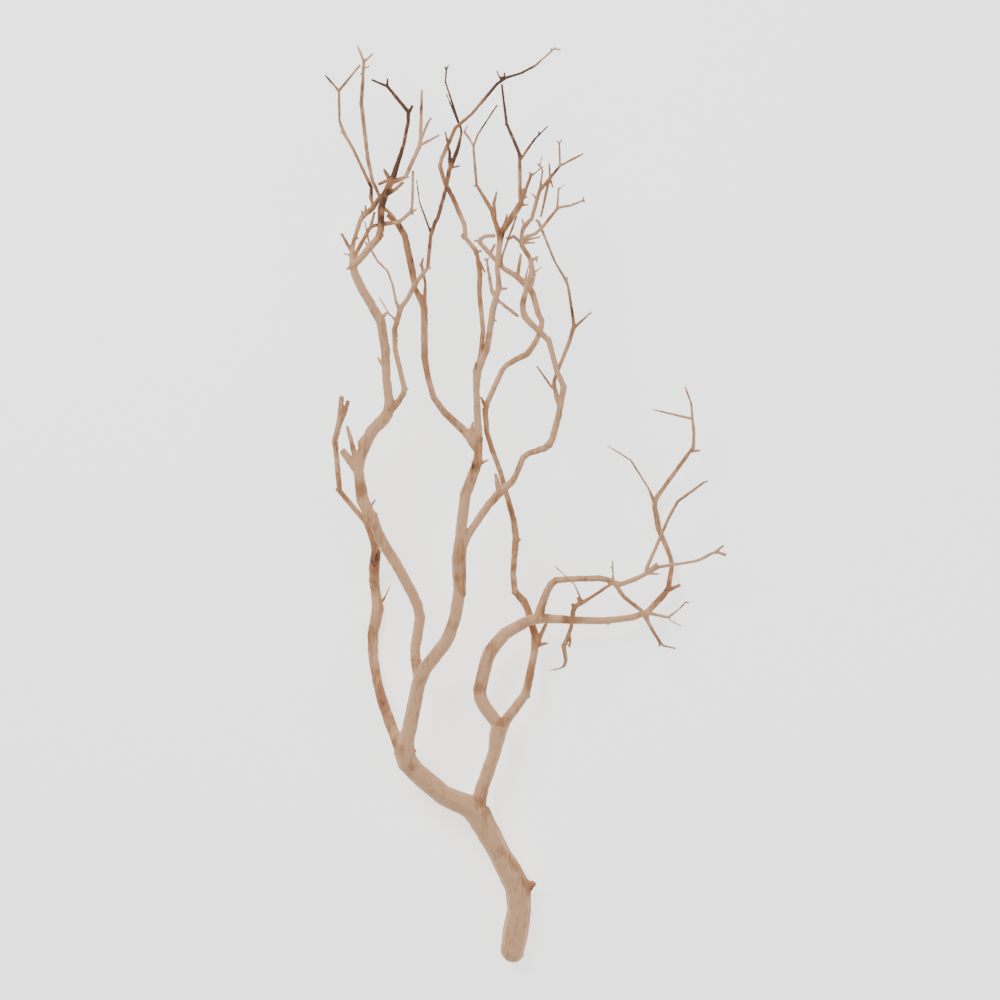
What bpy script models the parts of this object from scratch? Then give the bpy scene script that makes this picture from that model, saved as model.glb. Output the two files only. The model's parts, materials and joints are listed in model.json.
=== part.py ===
"""A dried, sandblasted manzanita branch, lying down as cut.

Every limb is a tube along a route of points chosen by hand. A point is (x, y, z, radius) in
millimetres as the branch is seen from straight above: x to the right, y down the picture, z up
from the surface that the branch lies on. The branch is split at its main forks.
"""

from collections import namedtuple
from math import cos, pi, sin

import bmesh
import bpy
import numpy as np
from mathutils import Vector

LENGTH = 0.915  # m, from the butt to the highest twig as seen
ROUTE_LENGTH = 915.0  # the same length in the routes' steps
STEP = LENGTH / ROUTE_LENGTH  # m, one step of the routes, which is a millimetre at this length
EYE_HEIGHT = 6000.0  # mm above the surface, where the branch is seen from
VIEW_CENTRE_X = 500.0
VIEW_CENTRE_Y = 500.0
FORK_GAP = 0.3  # mm between a limb and the limb that it grows from
FEWEST_RADIUS = 0.6  # mm, the thinnest twig end

ROUTE_TOLERANCE = 1.0  # mm, how far a straight, evenly tapered stretch may miss a point by

# Sides of a tube by its mean radius in mm, with the factor that keeps a round limb's area.
SIDES = ((6.0, 8, 1.054), (3.5, 7, 1.072), (1.5, 5, 1.15), (0.0, 4, 1.25))

PALE = (0.74, 0.56, 0.42)
TAN = (0.58, 0.40, 0.26)
DARK = (0.33, 0.19, 0.11)
ROUGHNESS = 0.78

Limb = namedtuple("Limb", "name parent collar route twigs colour")

LIMBS = (
    Limb(
        "trunk", None, (),
        (
            (510.3, 961, 12, 4.5), (511, 958.5, 12.3, 8.5), (512, 954, 12.5, 11.4), (514, 940, 13, 12.3),
            (515.8, 930, 13.2, 12.8), (517.3, 920, 13.8, 11.9), (519, 910, 14.6, 11.5),
            (519.6, 900, 15.6, 11.8), (518.3, 890, 16.8, 12.4), (514.5, 880, 18, 12.3),
            (508.7, 870, 19.2, 11), (503, 860, 20.4, 10.4), (497.7, 850, 21.6, 10.4),
            (492, 840, 22.8, 10.6), (486.8, 830, 24.2, 11.2), (481.5, 820, 25.6, 11.9),
            (477, 812, 27, 12.3),
        ),
        (
            ((520, 890, 17, 8.5), (527, 887, 18, 7.5), (531.5, 886.5, 18.5, 6.2), (533.5, 888, 18.5, 5)),
        ),
        PALE,
    ),
    Limb(
        "main_bough", "trunk",
        (
            (480, 817, 26.5, 11.5), (471.5, 808, 28.5, 11.4), (464.5, 804, 30.2, 11),
            (455, 800.5, 33, 10.3),
        ),
        (
            (443, 795, 37, 9.8), (429, 783, 43, 9.6),
            (415, 771, 48.5, 9.6), (407, 762, 52, 10), (404, 752, 55, 10.2), (405.5, 741, 57, 8.6),
            (409, 730, 58.5, 7.3), (411.5, 720, 59.5, 7.1), (413, 710, 60.5, 7), (414.6, 700, 61.3, 7),
            (416.8, 690, 62, 6.8), (418.6, 683, 62.4, 7.1),
        ),
        (
            ((408, 752, 57, 4.5), (414, 751.5, 58, 2.8), (416.3, 750.5, 58, 1.8)),
        ),
        PALE,
    ),
    Limb(
        "right_limb", "trunk",
        ((478, 808, 27.5, 8), (479.5, 797, 28.5, 7.2), (481.5, 790, 29.3, 6.7)),
        (
            (484, 782, 30, 6.5), (487.5, 773, 31, 6.3), (491.5, 762, 32, 6.5), (494.8, 751, 33, 6.5),
            (497, 740, 34, 6.9), (498.5, 732, 35, 8.2), (499.5, 726, 35.5, 8.8),
        ),
        (),
        PALE,
    ),
    Limb(
        "rear_limb", "main_bough",
        ((402, 752, 51, 6.5), (397.3, 742.5, 45, 5.6)),
        (
            (394.3, 734.5, 39.5, 5.3), (389.5, 722, 31, 5.3), (385.5, 711, 25, 5.3), (382, 700, 20, 5.3),
            (378.8, 689, 16, 5.2), (376.6, 679, 13, 5.1), (374.3, 667, 10, 5.1), (373, 655, 8.2, 5.1),
            (372.4, 643, 7.4, 5.4), (373, 632, 6.9, 5.5), (375, 621, 6.8, 5.7), (377.8, 609, 7.1, 6.2),
            (377, 600, 5.6, 5.4), (375.5, 590, 5, 4.8), (374, 580, 9, 5.1), (374, 570, 15, 5.4),
            (374.3, 560, 22, 5.8), (376, 551, 29, 5),
        ),
        (
            ((380, 602, 8, 2), (384, 599, 10, 1.5), (388, 592, 12, 1.6), (390.5, 585.3, 13, 0.7)),
        ),
        TAN,
    ),
    Limb(
        "outer_left_twig", "rear_limb",
        ((376, 554, 27, 4), (374, 541, 36, 3.8)),
        (
            (370.5, 531, 42, 2.9), (366, 522, 47, 2.8), (360, 514.5, 51, 3), (352, 506, 55, 3),
            (345, 498.5, 58, 2.8), (339.7, 491, 61, 2.7), (339.2, 480, 63, 2.5), (338.3, 470, 65, 2.5),
            (337, 460, 67, 2.6), (335.5, 450, 69, 2.7), (335, 440, 71, 2.9), (336.7, 430, 73, 2.9),
            (340, 421, 75, 3.2), (341.2, 410, 76, 2.4), (341.4, 401, 77, 2.3), (341.7, 396, 77.5, 2.2),
        ),
        (
            ((340.5, 422, 75, 2.6), (345.8, 410, 76, 2.2), (347.4, 403, 76.5, 2.1), (348, 400.5, 76.5, 1.8)),
            ((340.5, 491, 61, 2), (337.2, 490.6, 60.5, 1.5), (335.8, 489.5, 60.5, 0.9)),
        ),
        TAN,
    ),
    Limb(
        "arch_limb", "main_bough",
        ((419, 676, 61, 5.8), (416.3, 664, 56, 5.3)),
        (
            (415.3, 657, 51, 5), (415, 648, 48, 5), (417, 638, 46, 5.2), (419, 628, 45.5, 5.3),
            (419.8, 618, 46, 5.3), (418, 607, 48, 5.2), (413.5, 596, 51, 5.2), (407.5, 584, 56, 5.3),
            (401.5, 573, 61, 5.4), (396, 563.5, 65, 5.3), (390, 554.5, 68.5, 5.4), (384, 545, 72, 5.4),
            (377.5, 532, 75, 5.2), (373.5, 520, 77, 5.3), (367.5, 511, 78, 6), (362.5, 500, 78, 6.2),
            (360.5, 490, 77.5, 5.8), (359.3, 480, 77, 5.1), (358.2, 470, 76.5, 5), (359.7, 460, 76.5, 5.3),
            (363.3, 450, 77, 5.6), (367, 440, 78, 5.7), (371.8, 431, 79.5, 6), (377.5, 424.5, 81, 6.1),
            (384.5, 418, 83, 6), (388.5, 411.5, 85, 5.8),
        ),
        (
            ((357.5, 470, 76, 4.8), (350, 460, 77, 4.3), (345, 454, 78, 3.9), (341.5, 450, 78.5, 3.3)),
            (
                (359, 462, 76, 3), (354, 452, 76, 2.8), (352.3, 446, 76, 2.6), (349.5, 437, 76, 1.8),
                (347.5, 430, 76.5, 1.8), (347, 425.5, 77, 1.5),
            ),
            ((361, 453, 75, 2.8), (359.5, 442, 72, 2), (363, 436, 70.5, 1.2)),
            ((367, 508, 79, 2.4), (371.8, 505, 81.5, 1.3), (374.5, 501.5, 83, 0.9), (376, 499, 84, 0.7)),
            ((370, 515.5, 78, 4), (376, 515.5, 79, 3.2), (377.5, 514.5, 79.5, 2.4)),
        ),
        PALE,
    ),
    Limb(
        "left_stem", "arch_limb",
        ((387.5, 414, 84.5, 5.1), (389, 404, 86.5, 4.9), (389, 398, 87.5, 4.6)),
        (
            (387.8, 390, 89, 4.2), (386.5, 380, 91, 4.2), (385.8, 370, 93, 4.6),
            (386, 360, 94.5, 4.6), (385.2, 350, 96, 4.5), (384, 340, 97.5, 4.2), (382.7, 330, 99, 4.2),
            (380.5, 320.5, 100.5, 4.7), (376, 312, 102, 4.7), (368, 300, 104, 4.4),
            (363.3, 291.5, 105.5, 4.4), (359.5, 283.5, 107, 4.4), (356, 277, 108, 4.1),
            (353.2, 270, 109, 3.7), (352.5, 265, 110, 3.8),
        ),
        (
            ((384, 367, 92.5, 2.4), (379.5, 360, 91, 1.1), (377.2, 356.5, 90, 0.7)),
            ((381, 318, 101, 2.6), (385.8, 313, 102, 1.5), (387.8, 311.8, 102.5, 1)),
            ((352, 264.5, 109, 2.2), (348.5, 268, 108.5, 1.4), (346.4, 270, 108, 0.9)),
            (
                (352, 252.5, 107, 1.9), (348.2, 246.6, 108, 1.9), (344.5, 240, 109.5, 1.9),
                (341.4, 233.5, 111, 1.5),
            ),
            ((351.5, 254, 107, 1.5), (347, 254.6, 107.5, 1), (343.2, 252.9, 108, 0.7)),
        ),
        PALE,
    ),
    Limb(
        "left_crown_limb", "left_stem",
        ((352.5, 267, 109.8, 3.4), (355.8, 263.2, 111.2, 3.5), (360, 259, 113, 3.2)),
        (
            (366.5, 251, 116, 3.3), (373, 243.5, 119, 3.3), (379, 237, 121, 3.4),
            (380.8, 230, 122, 3.3), (380.6, 222.5, 122.5, 3.8), (380.3, 215, 122.5, 3.2),
            (381.3, 208, 122.5, 3.3), (382.8, 202, 122.5, 3.6), (385, 195, 122.5, 3.5),
            (388, 188.5, 122.5, 3.8), (391, 182.5, 122, 3.7), (392.3, 179, 121.7, 3.3),
        ),
        (
            ((369, 248, 116.5, 1.8), (366.8, 243.6, 115, 1.1), (365.3, 241.6, 114.5, 0.7)),
            ((380, 236.5, 121, 2), (384, 235.3, 121, 1.1)),
            ((390, 180, 121, 2.4), (388.5, 177, 120, 2.2), (386.8, 172.7, 119, 1.3), (383.6, 169, 118, 1.1)),
            ((390, 181, 120.5, 2), (386, 181, 117, 1.7), (381, 183, 114, 1.6), (378.6, 184.4, 113, 1.5)),
            ((387.5, 194, 122, 2.2), (396, 188.8, 120, 1.8), (401, 184.5, 119, 1.7), (403.5, 182, 119, 1.4)),
            (
                (381, 224, 122.5, 2.4), (386, 224.2, 123, 2.2), (390, 224, 124, 1.8),
                (395.5, 222.8, 125.5, 1.7), (401, 220.5, 127, 1.7), (406.4, 216.4, 128, 1.7),
                (411, 211.8, 128.5, 2), (412.3, 205.5, 128, 1.3), (412.3, 196.4, 127, 1.2),
                (412.7, 187.3, 125.5, 1.2), (412.9, 178.2, 123.5, 1.3), (413.1, 170.5, 121.8, 1.3),
            ),
            ((411, 211, 128.3, 1.4), (412.9, 214.8, 128.5, 0.9)),
            ((411, 211.8, 128.5, 1.4), (414, 210.5, 128.8, 1), (416.8, 209.3, 129, 0.8)),
            ((381.5, 206, 122, 1.8), (386.5, 210.5, 123, 1.1), (390, 213.6, 124, 1), (395.5, 217.7, 125, 1)),
        ),
        TAN,
    ),
    Limb(
        "left_crown_dark_tip", "left_crown_limb",
        ((391.5, 181, 121.8, 2.9), (394, 175, 121, 2.8)),
        (
            (395.5, 171.5, 120.3, 2.6), (397.5, 166.4, 119, 2), (399, 160, 117.5, 1.9),
            (401.4, 152.7, 115.5, 2), (403.6, 144.5, 113, 1.7), (405.5, 135.5, 110.5, 1.6),
            (406.8, 128.2, 108.5, 1.8), (408.2, 121.8, 107, 1.8), (409, 116.4, 106, 1.8),
            (408.2, 111.8, 105, 2), (404.5, 107.5, 104, 1.8), (399, 101.8, 102.5, 1.5),
            (394.5, 96.4, 101, 1.4), (391, 91, 99.5, 1.3), (387.3, 86.5, 98, 1.5), (383, 84.6, 97.5, 1.3),
            (378.2, 83.2, 97, 1.2), (371.4, 79.7, 96, 1),
        ),
        (
            ((408.6, 113.5, 105.3, 1.6), (411, 108.6, 105.5, 1.4), (412.5, 105.5, 106, 1.1)),
            ((387.4, 87, 98, 1.3), (387.6, 81.5, 98.5, 1.1), (387.5, 78.2, 99, 0.7)),
        ),
        DARK,
    ),
    Limb(
        "left_crown_pale_tip", "left_crown_limb",
        ((391.5, 181.5, 121.5, 2.6), (398.3, 180, 121.5, 2.3)),
        (
            (401.5, 178.8, 121.8, 2), (405.3, 177, 121.5, 1.9), (407.3, 173.2, 120.5, 1.7),
            (409.5, 168.2, 119, 1.7), (411.8, 162.7, 117.5, 2), (413.8, 159.5, 117, 2.3),
            (416.4, 153.6, 115.5, 2), (419, 147.3, 114, 2.1), (420.5, 140, 112.5, 1.9),
            (420.7, 131, 110.5, 1.7), (420.9, 121.8, 108.5, 1.5), (421.2, 112.7, 107, 1.5),
            (421.4, 103.6, 105.5, 1.5), (421.6, 96.4, 104.5, 1.4), (421.8, 90, 103.5, 1.2),
        ),
        (
            ((405, 177.2, 121.5, 1.4), (409, 177, 122, 0.8)),
            (
                (420.7, 141, 112.5, 1.2), (422.3, 136.4, 113, 1.1), (424.5, 131, 113.5, 1.3),
                (426.8, 124.5, 114, 1.3), (429, 120, 114, 1.1), (431.4, 117.3, 114, 0.8),
            ),
            (
                (419.5, 145.5, 114, 1.5), (423.6, 142.7, 115, 1.3), (428.2, 140.5, 116, 1),
                (433.6, 138.2, 117, 0.9), (439.3, 135, 118, 0.8),
            ),
        ),
        PALE,
    ),
    Limb(
        "hub_twig_long", "left_stem",
        ((352.3, 266.5, 109, 3), (352, 256, 107, 2.7), (352.4, 251, 107, 2.4), (353.2, 242.5, 108, 2)),
        (
            (355.4, 234, 109.5, 1.9),
            (357.3, 229, 110, 1.9), (360, 221, 110.5, 2.2), (363.6, 215.5, 111, 2.6),
            (368.2, 211.4, 111.5, 2.2), (372.7, 208.2, 112, 2.4), (376.4, 203.6, 112, 2),
            (379.5, 198.5, 111.5, 1.9), (381.5, 194, 111, 1.7),
        ),
        (
            ((365.5, 212.5, 111.3, 1.4), (365.5, 205.3, 112, 0.8)),
            ((363, 215, 111, 1.6), (361.5, 210.3, 112, 0.8)),
            ((354, 239.5, 108.5, 1.3), (356.5, 239.3, 109, 1), (359, 237.8, 110, 0.7)),
        ),
        TAN,
    ),
    Limb(
        "hub_twig_right", "left_stem",
        ((353, 268, 108, 2.4), (355.3, 257, 103.5, 2.1), (357.5, 250, 102.5, 1.9)),
        (
            (360.6, 243.6, 102.5, 1.7), (364, 238.2, 103, 1.9),
            (366.8, 231.8, 103.8, 1.9), (370, 227.5, 105, 1.8), (373.6, 225.5, 107.5, 1.8),
            (376, 225, 110.5, 1.6), (377.6, 224.9, 114, 1.5),
        ),
        (
            ((370.5, 227, 105.3, 1.4), (372.7, 221.8, 106, 1.3), (373.6, 216.4, 106.5, 1), (374.6, 212, 107, 1)),
        ),
        TAN,
    ),
    Limb(
        "leaning_twig", "hub_twig_long",
        ((373, 208, 112, 1.8), (372.6, 202.5, 110.3, 1.8)),
        (
            (371, 198, 109.5, 2), (371.2, 191.8, 108.5, 2.1), (371.3, 187.3, 108, 1.7),
            (369, 181.8, 107.5, 1.5), (365.5, 174.5, 107, 1.4), (361.8, 167.3, 106, 1.4),
            (358.1, 160, 105, 1.5), (353.6, 150, 103.5, 1.4), (350, 143.6, 102.5, 1.3),
            (346.4, 136.4, 101.5, 1.4), (343.2, 131.8, 101, 1.8), (341, 126.4, 100, 1.5),
            (339.4, 120, 99, 1.2), (339, 111, 97.5, 1.1), (339, 103.6, 96.5, 1.1), (338.8, 96.4, 95.5, 1.2),
            (338.8, 91, 94.5, 1.4), (341, 88, 94.5, 1.2), (345.5, 82.7, 95, 1), (350, 76.4, 95.5, 1),
            (354.5, 71.4, 96, 1.1), (358.2, 67.3, 96.5, 1.2), (360.4, 64.6, 97, 0.9),
        ),
        (
            ((339, 91, 94.5, 1.2), (336.8, 88.2, 94, 1), (333.6, 85, 93.5, 1), (330, 80, 93, 1), (325, 75, 92.5, 0.8)),
            ((343, 131.5, 101, 1.1), (340.3, 132.8, 101, 0.7)),
        ),
        TAN,
    ),
    Limb(
        "tall_twig", "left_crown_limb",
        ((384, 200, 121.5, 1.8), (379.5, 197.3, 117.5, 1.6)),
        (
            (376.8, 191.8, 115.5, 1.6), (375, 186.8, 114.5, 1.9), (372.7, 181, 113, 1.8),
            (371, 173.6, 111.5, 1.8), (369, 166.4, 110, 1.8), (368, 160, 108.5, 1.9),
            (367.3, 152.7, 107, 1.7), (366.4, 147.3, 106, 1.7), (365.5, 140, 104.5, 1.7),
            (364, 131, 102.5, 1.7), (362.6, 121.8, 100.5, 1.9), (362, 114.5, 99, 1.8),
            (361.8, 109, 97.5, 2), (361.4, 103.6, 96.5, 1.9), (361.5, 98.2, 95.5, 1.4),
            (361.6, 90, 94, 1.2), (362, 81, 92, 1.3), (362.8, 75, 91, 1.8), (363.8, 71, 90, 1.3),
            (363.9, 66.4, 89, 1.4), (363.9, 61, 88, 1.6), (361, 56.4, 87, 1), (358.6, 51, 86, 0.8),
            (357.3, 45.5, 85, 0.7),
        ),
        (
            ((363.8, 62, 88, 1.2), (366.4, 58.6, 87.5, 1), (369.5, 56, 87, 0.8), (373, 53.6, 86.5, 0.7)),
            ((363.8, 68.5, 89.5, 1), (366.8, 67.4, 89.5, 0.8), (369.5, 66, 89.5, 0.7)),
            ((362.8, 75, 91, 1.1), (359.9, 73.6, 91, 0.7)),
        ),
        TAN,
    ),
    Limb(
        "inner_stem", "arch_limb",
        ((388, 413, 84.5, 4), (395.5, 404.5, 85, 3.4), (400, 399.5, 86, 3)),
        (
            (403.8, 393, 87, 2.9), (404.2, 387, 87.7, 2.7), (402.7, 380, 88.5, 2.4),
            (401, 370, 90, 2.4), (398.3, 360, 91.5, 2.2), (395.4, 350, 93, 2.5), (394, 340, 94.5, 2.8),
            (394.5, 330, 96, 2.9), (397, 320, 98, 3.1), (399.7, 313, 99.5, 3), (401, 307.5, 100.7, 2.6),
            (403.5, 304, 101.8, 2.3), (407, 299.5, 103.5, 2.2), (411, 292.5, 106, 2.3),
            (414.5, 285.5, 108, 2.6), (418, 279.5, 108.5, 2.3), (423, 273, 108, 1.8),
            (426.5, 269.5, 107.5, 1.9),
        ),
        (
            ((403.8, 389.5, 87.3, 1.8), (407, 389, 88, 1.7), (409, 388.6, 88.5, 0.8)),
            ((426.3, 269, 107.4, 1.3), (431.3, 267.2, 107.5, 1)),
            (
                (396.5, 321, 98, 1.8), (393, 318.6, 98, 1.4), (388.8, 313.8, 98.5, 0.9),
                (383.8, 305, 99, 0.8), (378.5, 295.8, 99.5, 0.6),
            ),
            (
                (400, 310, 100, 2), (398, 305.5, 101, 1.8), (395.7, 301, 102, 1.4), (394.4, 295, 103, 1.3),
                (393, 286, 104, 1.3), (391, 278.8, 105, 1.3), (387.5, 271, 106, 1.2),
                (383.8, 266.5, 106.5, 1.5), (380, 264.3, 107, 1.4), (377.2, 260.8, 107.5, 1.1),
                (373.8, 255.6, 108.5, 1.1), (370.2, 248, 109.5, 1.1), (368.6, 241.8, 109.5, 1.1),
                (367.3, 233.6, 109.5, 1.1), (365.5, 226.4, 109, 1.1), (364.6, 221, 108.5, 1),
            ),
        ),
        PALE,
    ),
    Limb(
        "inner_stem_top", "inner_stem",
        ((425, 271, 107.7, 1.7), (428.2, 265.5, 107, 1.8)),
        (
            (428.7, 259, 107, 1.8), (428.7, 252.5, 107, 1.6), (429.5, 243.8, 107, 1.6),
            (430.7, 236, 107, 1.8), (432.5, 230, 107, 2.1), (434.5, 223.6, 107, 2),
            (437.7, 218.2, 106.5, 1.9), (439.5, 211, 105.5, 1.8), (442.2, 201.8, 104, 1.9),
            (443.8, 196, 103, 2), (445.5, 190, 102, 1.8), (447.3, 180, 100.5, 1.9), (449, 171, 99.5, 2.2),
            (451.3, 163, 99, 2.4), (454.5, 156, 98.5, 2.1), (457.7, 149.5, 98, 1.9),
            (459.3, 142, 97.5, 1.3), (461.2, 134.5, 97, 1.2), (461, 129, 96.7, 1.2),
            (457.5, 119.5, 96, 1), (455, 111, 95, 0.9), (452, 102, 94, 0.9), (449.4, 94, 93, 0.9),
            (447, 88, 92, 0.8), (445.4, 82, 91, 0.9), (445.8, 76, 90.5, 0.9), (446.4, 69.5, 90, 0.8),
            (448.5, 65, 90, 0.6),
        ),
        (
            (
                (431, 233, 107, 1.2), (428.5, 226.5, 107.5, 0.9), (425.3, 219, 108, 0.9),
                (423.2, 212, 108.5, 0.8), (419.6, 202.5, 109, 0.7), (417.5, 192, 109.5, 0.8),
                (416.5, 180, 110, 0.6),
            ),
            ((450, 168, 99.3, 1.2), (455, 167.5, 100, 0.8), (460, 165.7, 100.5, 0.7)),
            (
                (450, 166, 99, 1.8), (450.3, 159, 98.2, 1.5), (449.5, 152, 97.5, 1.3), (448, 147, 97, 1.1),
                (446.8, 141, 97, 1.3), (446.6, 137, 97, 1.2), (445.3, 131.5, 97, 0.8),
            ),
            (
                (459.5, 126, 96.5, 1), (456, 119, 97.5, 1), (452.8, 111, 98, 1), (450.4, 104, 98, 0.9),
                (448, 98, 98, 0.8), (446.3, 93.7, 98, 0.6),
            ),
            ((446.4, 70.5, 90, 0.7), (444.7, 66.3, 90, 0.6)),
        ),
        DARK,
    ),
    Limb(
        "centre_stem_lower", "main_bough",
        (
            (416.8, 690, 62, 6.5), (420.8, 676.5, 63.3, 7.1), (425, 668.5, 65, 6.6),
            (431, 661, 67.5, 6.5),
        ),
        (
            (437.5, 653, 70.5, 6.5), (444, 644.5, 73.5, 6.4),
            (449, 635.5, 76.5, 6.2), (453, 626, 79, 6), (455.7, 616, 81.5, 5.9), (457.6, 606, 84, 6),
            (459.2, 598, 85.5, 6.4), (459.7, 589, 87, 6.2), (459.3, 579, 88, 6), (459, 569, 89, 6.3),
            (458.8, 560, 89.5, 7), (459.3, 551, 90, 7.2), (460.2, 544, 90.3, 6.4),
        ),
        (
            ((461.5, 594, 86.5, 4), (464.6, 594, 87, 2.4), (466, 594.5, 87, 1.3)),
        ),
        PALE,
    ),
    Limb(
        "centre_stem_upper", "centre_stem_lower",
        ((459.5, 551, 90, 6.3), (460.8, 537, 91, 5.5), (461.4, 526, 92, 5.3)),
        (
            (462.5, 515, 93, 5.3), (463.7, 505, 94, 5.3), (465.3, 495, 95, 5.4),
            (467.8, 487, 96, 5.4), (471, 479, 96.5, 5.4), (474, 472, 97, 5.2), (476.5, 465, 97.3, 5),
            (478, 457, 97.6, 4.3), (478.8, 448, 98, 4), (478.6, 439, 98.3, 4.1), (478.2, 430, 98.7, 3.9),
            (477.2, 420, 99, 3.2), (476.5, 410, 99.5, 3.2), (476.5, 400, 100, 3.2), (476.3, 390, 100.5, 3.2),
            (476.3, 380, 101, 3.9), (477, 371, 102, 4.4), (479.3, 364, 103, 3.9), (483.5, 357, 104, 3.3),
            (487, 349, 104.5, 3.2), (489.2, 339, 105, 3), (490.5, 329, 105.5, 3), (491.6, 319, 106, 3.2),
            (493, 309, 107, 3.3), (495, 300, 108, 3.4), (497.3, 293.5, 109, 3.2), (499, 287, 110, 2.9),
            (498.2, 281, 110.7, 2.7), (497, 274, 111.5, 2.4), (497, 267, 112.3, 2.4),
            (498, 259, 113, 2.4), (498.6, 251, 114, 2.4), (499.3, 244, 115, 2.7), (500.4, 237, 116, 3.2),
        ),
        (
            ((474.5, 445, 97, 2.6), (471, 431, 96, 2.4), (471.8, 425, 95, 1.8), (473, 421.7, 94.5, 1.2)),
            ((477, 460, 97, 3.4), (482.5, 462.5, 97.5, 2.2), (486, 460.5, 98, 1.3), (489.3, 459.2, 98, 0.7)),
            ((475, 464, 97, 3.4), (472.4, 463, 97.5, 2.6), (471.9, 461.5, 97.5, 1.6)),
            ((478, 368, 103, 3), (475.5, 365, 103.5, 1.9), (478, 360, 104.5, 1), (477.3, 358.2, 105, 0.6)),
            ((493.5, 320, 106.5, 1.8), (496, 320.5, 107, 1), (496.6, 322.2, 107, 0.7)),
            ((499, 289, 110, 2), (503.5, 288.7, 110, 1.6), (507.3, 288.3, 110, 1.2)),
            (
                (496, 297, 107.5, 2.4), (491.8, 291.5, 106.5, 2), (490, 284, 106, 1.7), (488.5, 276, 105.5, 1.4),
                (487.2, 268, 105, 1.4), (486.6, 260, 104.5, 1.5), (484, 258.5, 104.5, 0.9),
            ),
            ((486.7, 262, 104.5, 1), (488.7, 257.3, 104.5, 0.8)),
            (
                (495, 298, 108, 1.8), (502.5, 303.5, 107, 1.2), (509.5, 310.5, 106, 1.3),
                (515.5, 315, 105, 1.5), (518.8, 317, 104.6, 1.5),
            ),
        ),
        PALE,
    ),
    Limb(
        "spotted_stem", "centre_stem_upper",
        (
            (478, 450, 97.5, 4), (473, 442.5, 96.8, 4.6), (469.5, 436.5, 96.5, 4.8),
            (464.5, 431, 96.5, 4),
        ),
        (
            (458, 426, 96.5, 3.2), (451, 419.5, 96.8, 3.1),
            (444, 412, 97, 3.3), (438, 405, 97, 3.1), (433.5, 397, 97, 3), (430.5, 388, 97, 2.7),
            (428, 378, 97, 2.8), (425.8, 368, 97, 2.9), (424.6, 358, 97, 3.2), (424.2, 348, 97, 3.3),
            (423.6, 338, 97.3, 3.1), (423.6, 328, 97.6, 3.1), (424, 318, 98, 3.2), (424.2, 308, 98.3, 3.3),
            (422.3, 301.5, 98.8, 3.5), (418.3, 295.5, 99.5, 2.9), (414.8, 288.5, 100.5, 2.5),
            (414, 281, 102, 2.8), (412.4, 272, 104, 3.3), (410.5, 262, 106, 3), (408.8, 252, 107.5, 3.1),
            (407, 243, 109, 3.2), (404.6, 235, 110.5, 3.1), (401.3, 229, 112, 3.4), (397.5, 223.5, 113.5, 2.9),
            (392, 218.3, 115, 2.5), (387.5, 214.5, 117, 2.2),
        ),
        (
            (
                (424.2, 303, 98.5, 2.2), (425.5, 293, 98.7, 1.8), (425.4, 284, 99, 1.4), (423.7, 275, 99.5, 1.3),
                (422.2, 267, 100, 1.5), (421.5, 264, 100, 1.6), (423.2, 257.5, 100, 0.8),
            ),
            ((422, 263.5, 100, 1.3), (419.3, 265.7, 100, 0.8)),
        ),
        TAN,
    ),
    Limb(
        "long_curved_twig", "centre_stem_upper",
        ((478.5, 367.5, 102, 2.6), (480, 356, 100.3, 2.4), (481.5, 349, 99.7, 2.4)),
        (
            (482.7, 340, 99.5, 2.3), (483, 331, 99.5, 2.3), (482.4, 321, 99.7, 2.3),
            (481.2, 311, 100, 2.3), (480, 301, 100.5, 2.2), (479.3, 291, 101, 2.3), (479.6, 281, 101.5, 2.4),
            (479.8, 273, 102, 2.4), (478.6, 265, 102.5, 2.2), (477.5, 257, 103, 2.1), (475, 249.5, 103, 2.3),
            (470, 242.8, 103, 2.3), (465.5, 238, 103, 2.2), (464.2, 231, 103, 2), (464.5, 225, 103, 2.3),
            (462, 219, 103.5, 2.2), (458.5, 211, 104.5, 2), (455, 203, 105.5, 2), (452.7, 197.5, 106, 2.3),
            (448.5, 190.5, 106.5, 2), (444.6, 182, 106.5, 2), (441.5, 174, 106, 2), (440, 166, 105.5, 2.1),
            (441.5, 159, 105, 2), (445, 150.5, 104.5, 1.8), (448.3, 142, 104, 1.8), (451.3, 135, 103.5, 1.7),
            (455.3, 128, 103, 1.8), (460, 124.2, 102.7, 1.6), (466, 119.6, 102.3, 1.5),
            (472, 113.7, 102, 1.5), (477, 107.3, 101.5, 1.6), (482, 101, 101, 1.6), (487, 95, 100.5, 1.5),
            (492, 89, 100, 1.6), (497, 84, 99.5, 1.6), (501.3, 80.3, 99, 1.8), (506, 77.8, 98.5, 1.4),
            (513, 75.7, 98, 1.2), (521, 73.2, 97, 1.2), (529, 69.3, 96, 1.2), (535, 65.8, 95, 1.2),
            (541, 61.3, 94, 1.1), (546.5, 56, 93, 1), (551, 50.8, 92, 1), (554, 49, 91.5, 0.8),
            (560.5, 49.6, 91, 0.7),
        ),
        (
            ((464.8, 238.5, 103, 1.7), (461.7, 236.3, 103, 1.4), (461.8, 233.7, 103, 0.8)),
            ((476, 252, 103, 1.6), (479.5, 251.8, 103.5, 1.2), (482, 250.7, 103.5, 0.8)),
            ((479, 261, 102.5, 1.4), (481.5, 267, 103, 1.2), (485.3, 272.7, 103, 0.7)),
            ((440.6, 164, 105.5, 1.5), (439.8, 158.5, 105.7, 1.1), (440.4, 156, 106, 0.7)),
            ((501.7, 80, 99, 1.6), (502, 76.6, 99.5, 1.3)),
            ((504, 79, 98.7, 1.1), (504.6, 75, 99, 0.8), (504.6, 72, 99, 0.7)),
            ((500.7, 79.5, 99, 0.9), (498.5, 75, 99.5, 0.6), (496.4, 70.3, 100, 0.6)),
            ((551.2, 51, 92, 0.8), (551.6, 48, 92, 0.6)),
            ((554, 49.2, 91.5, 0.8), (555.5, 46.6, 91.5, 0.6)),
        ),
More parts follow.
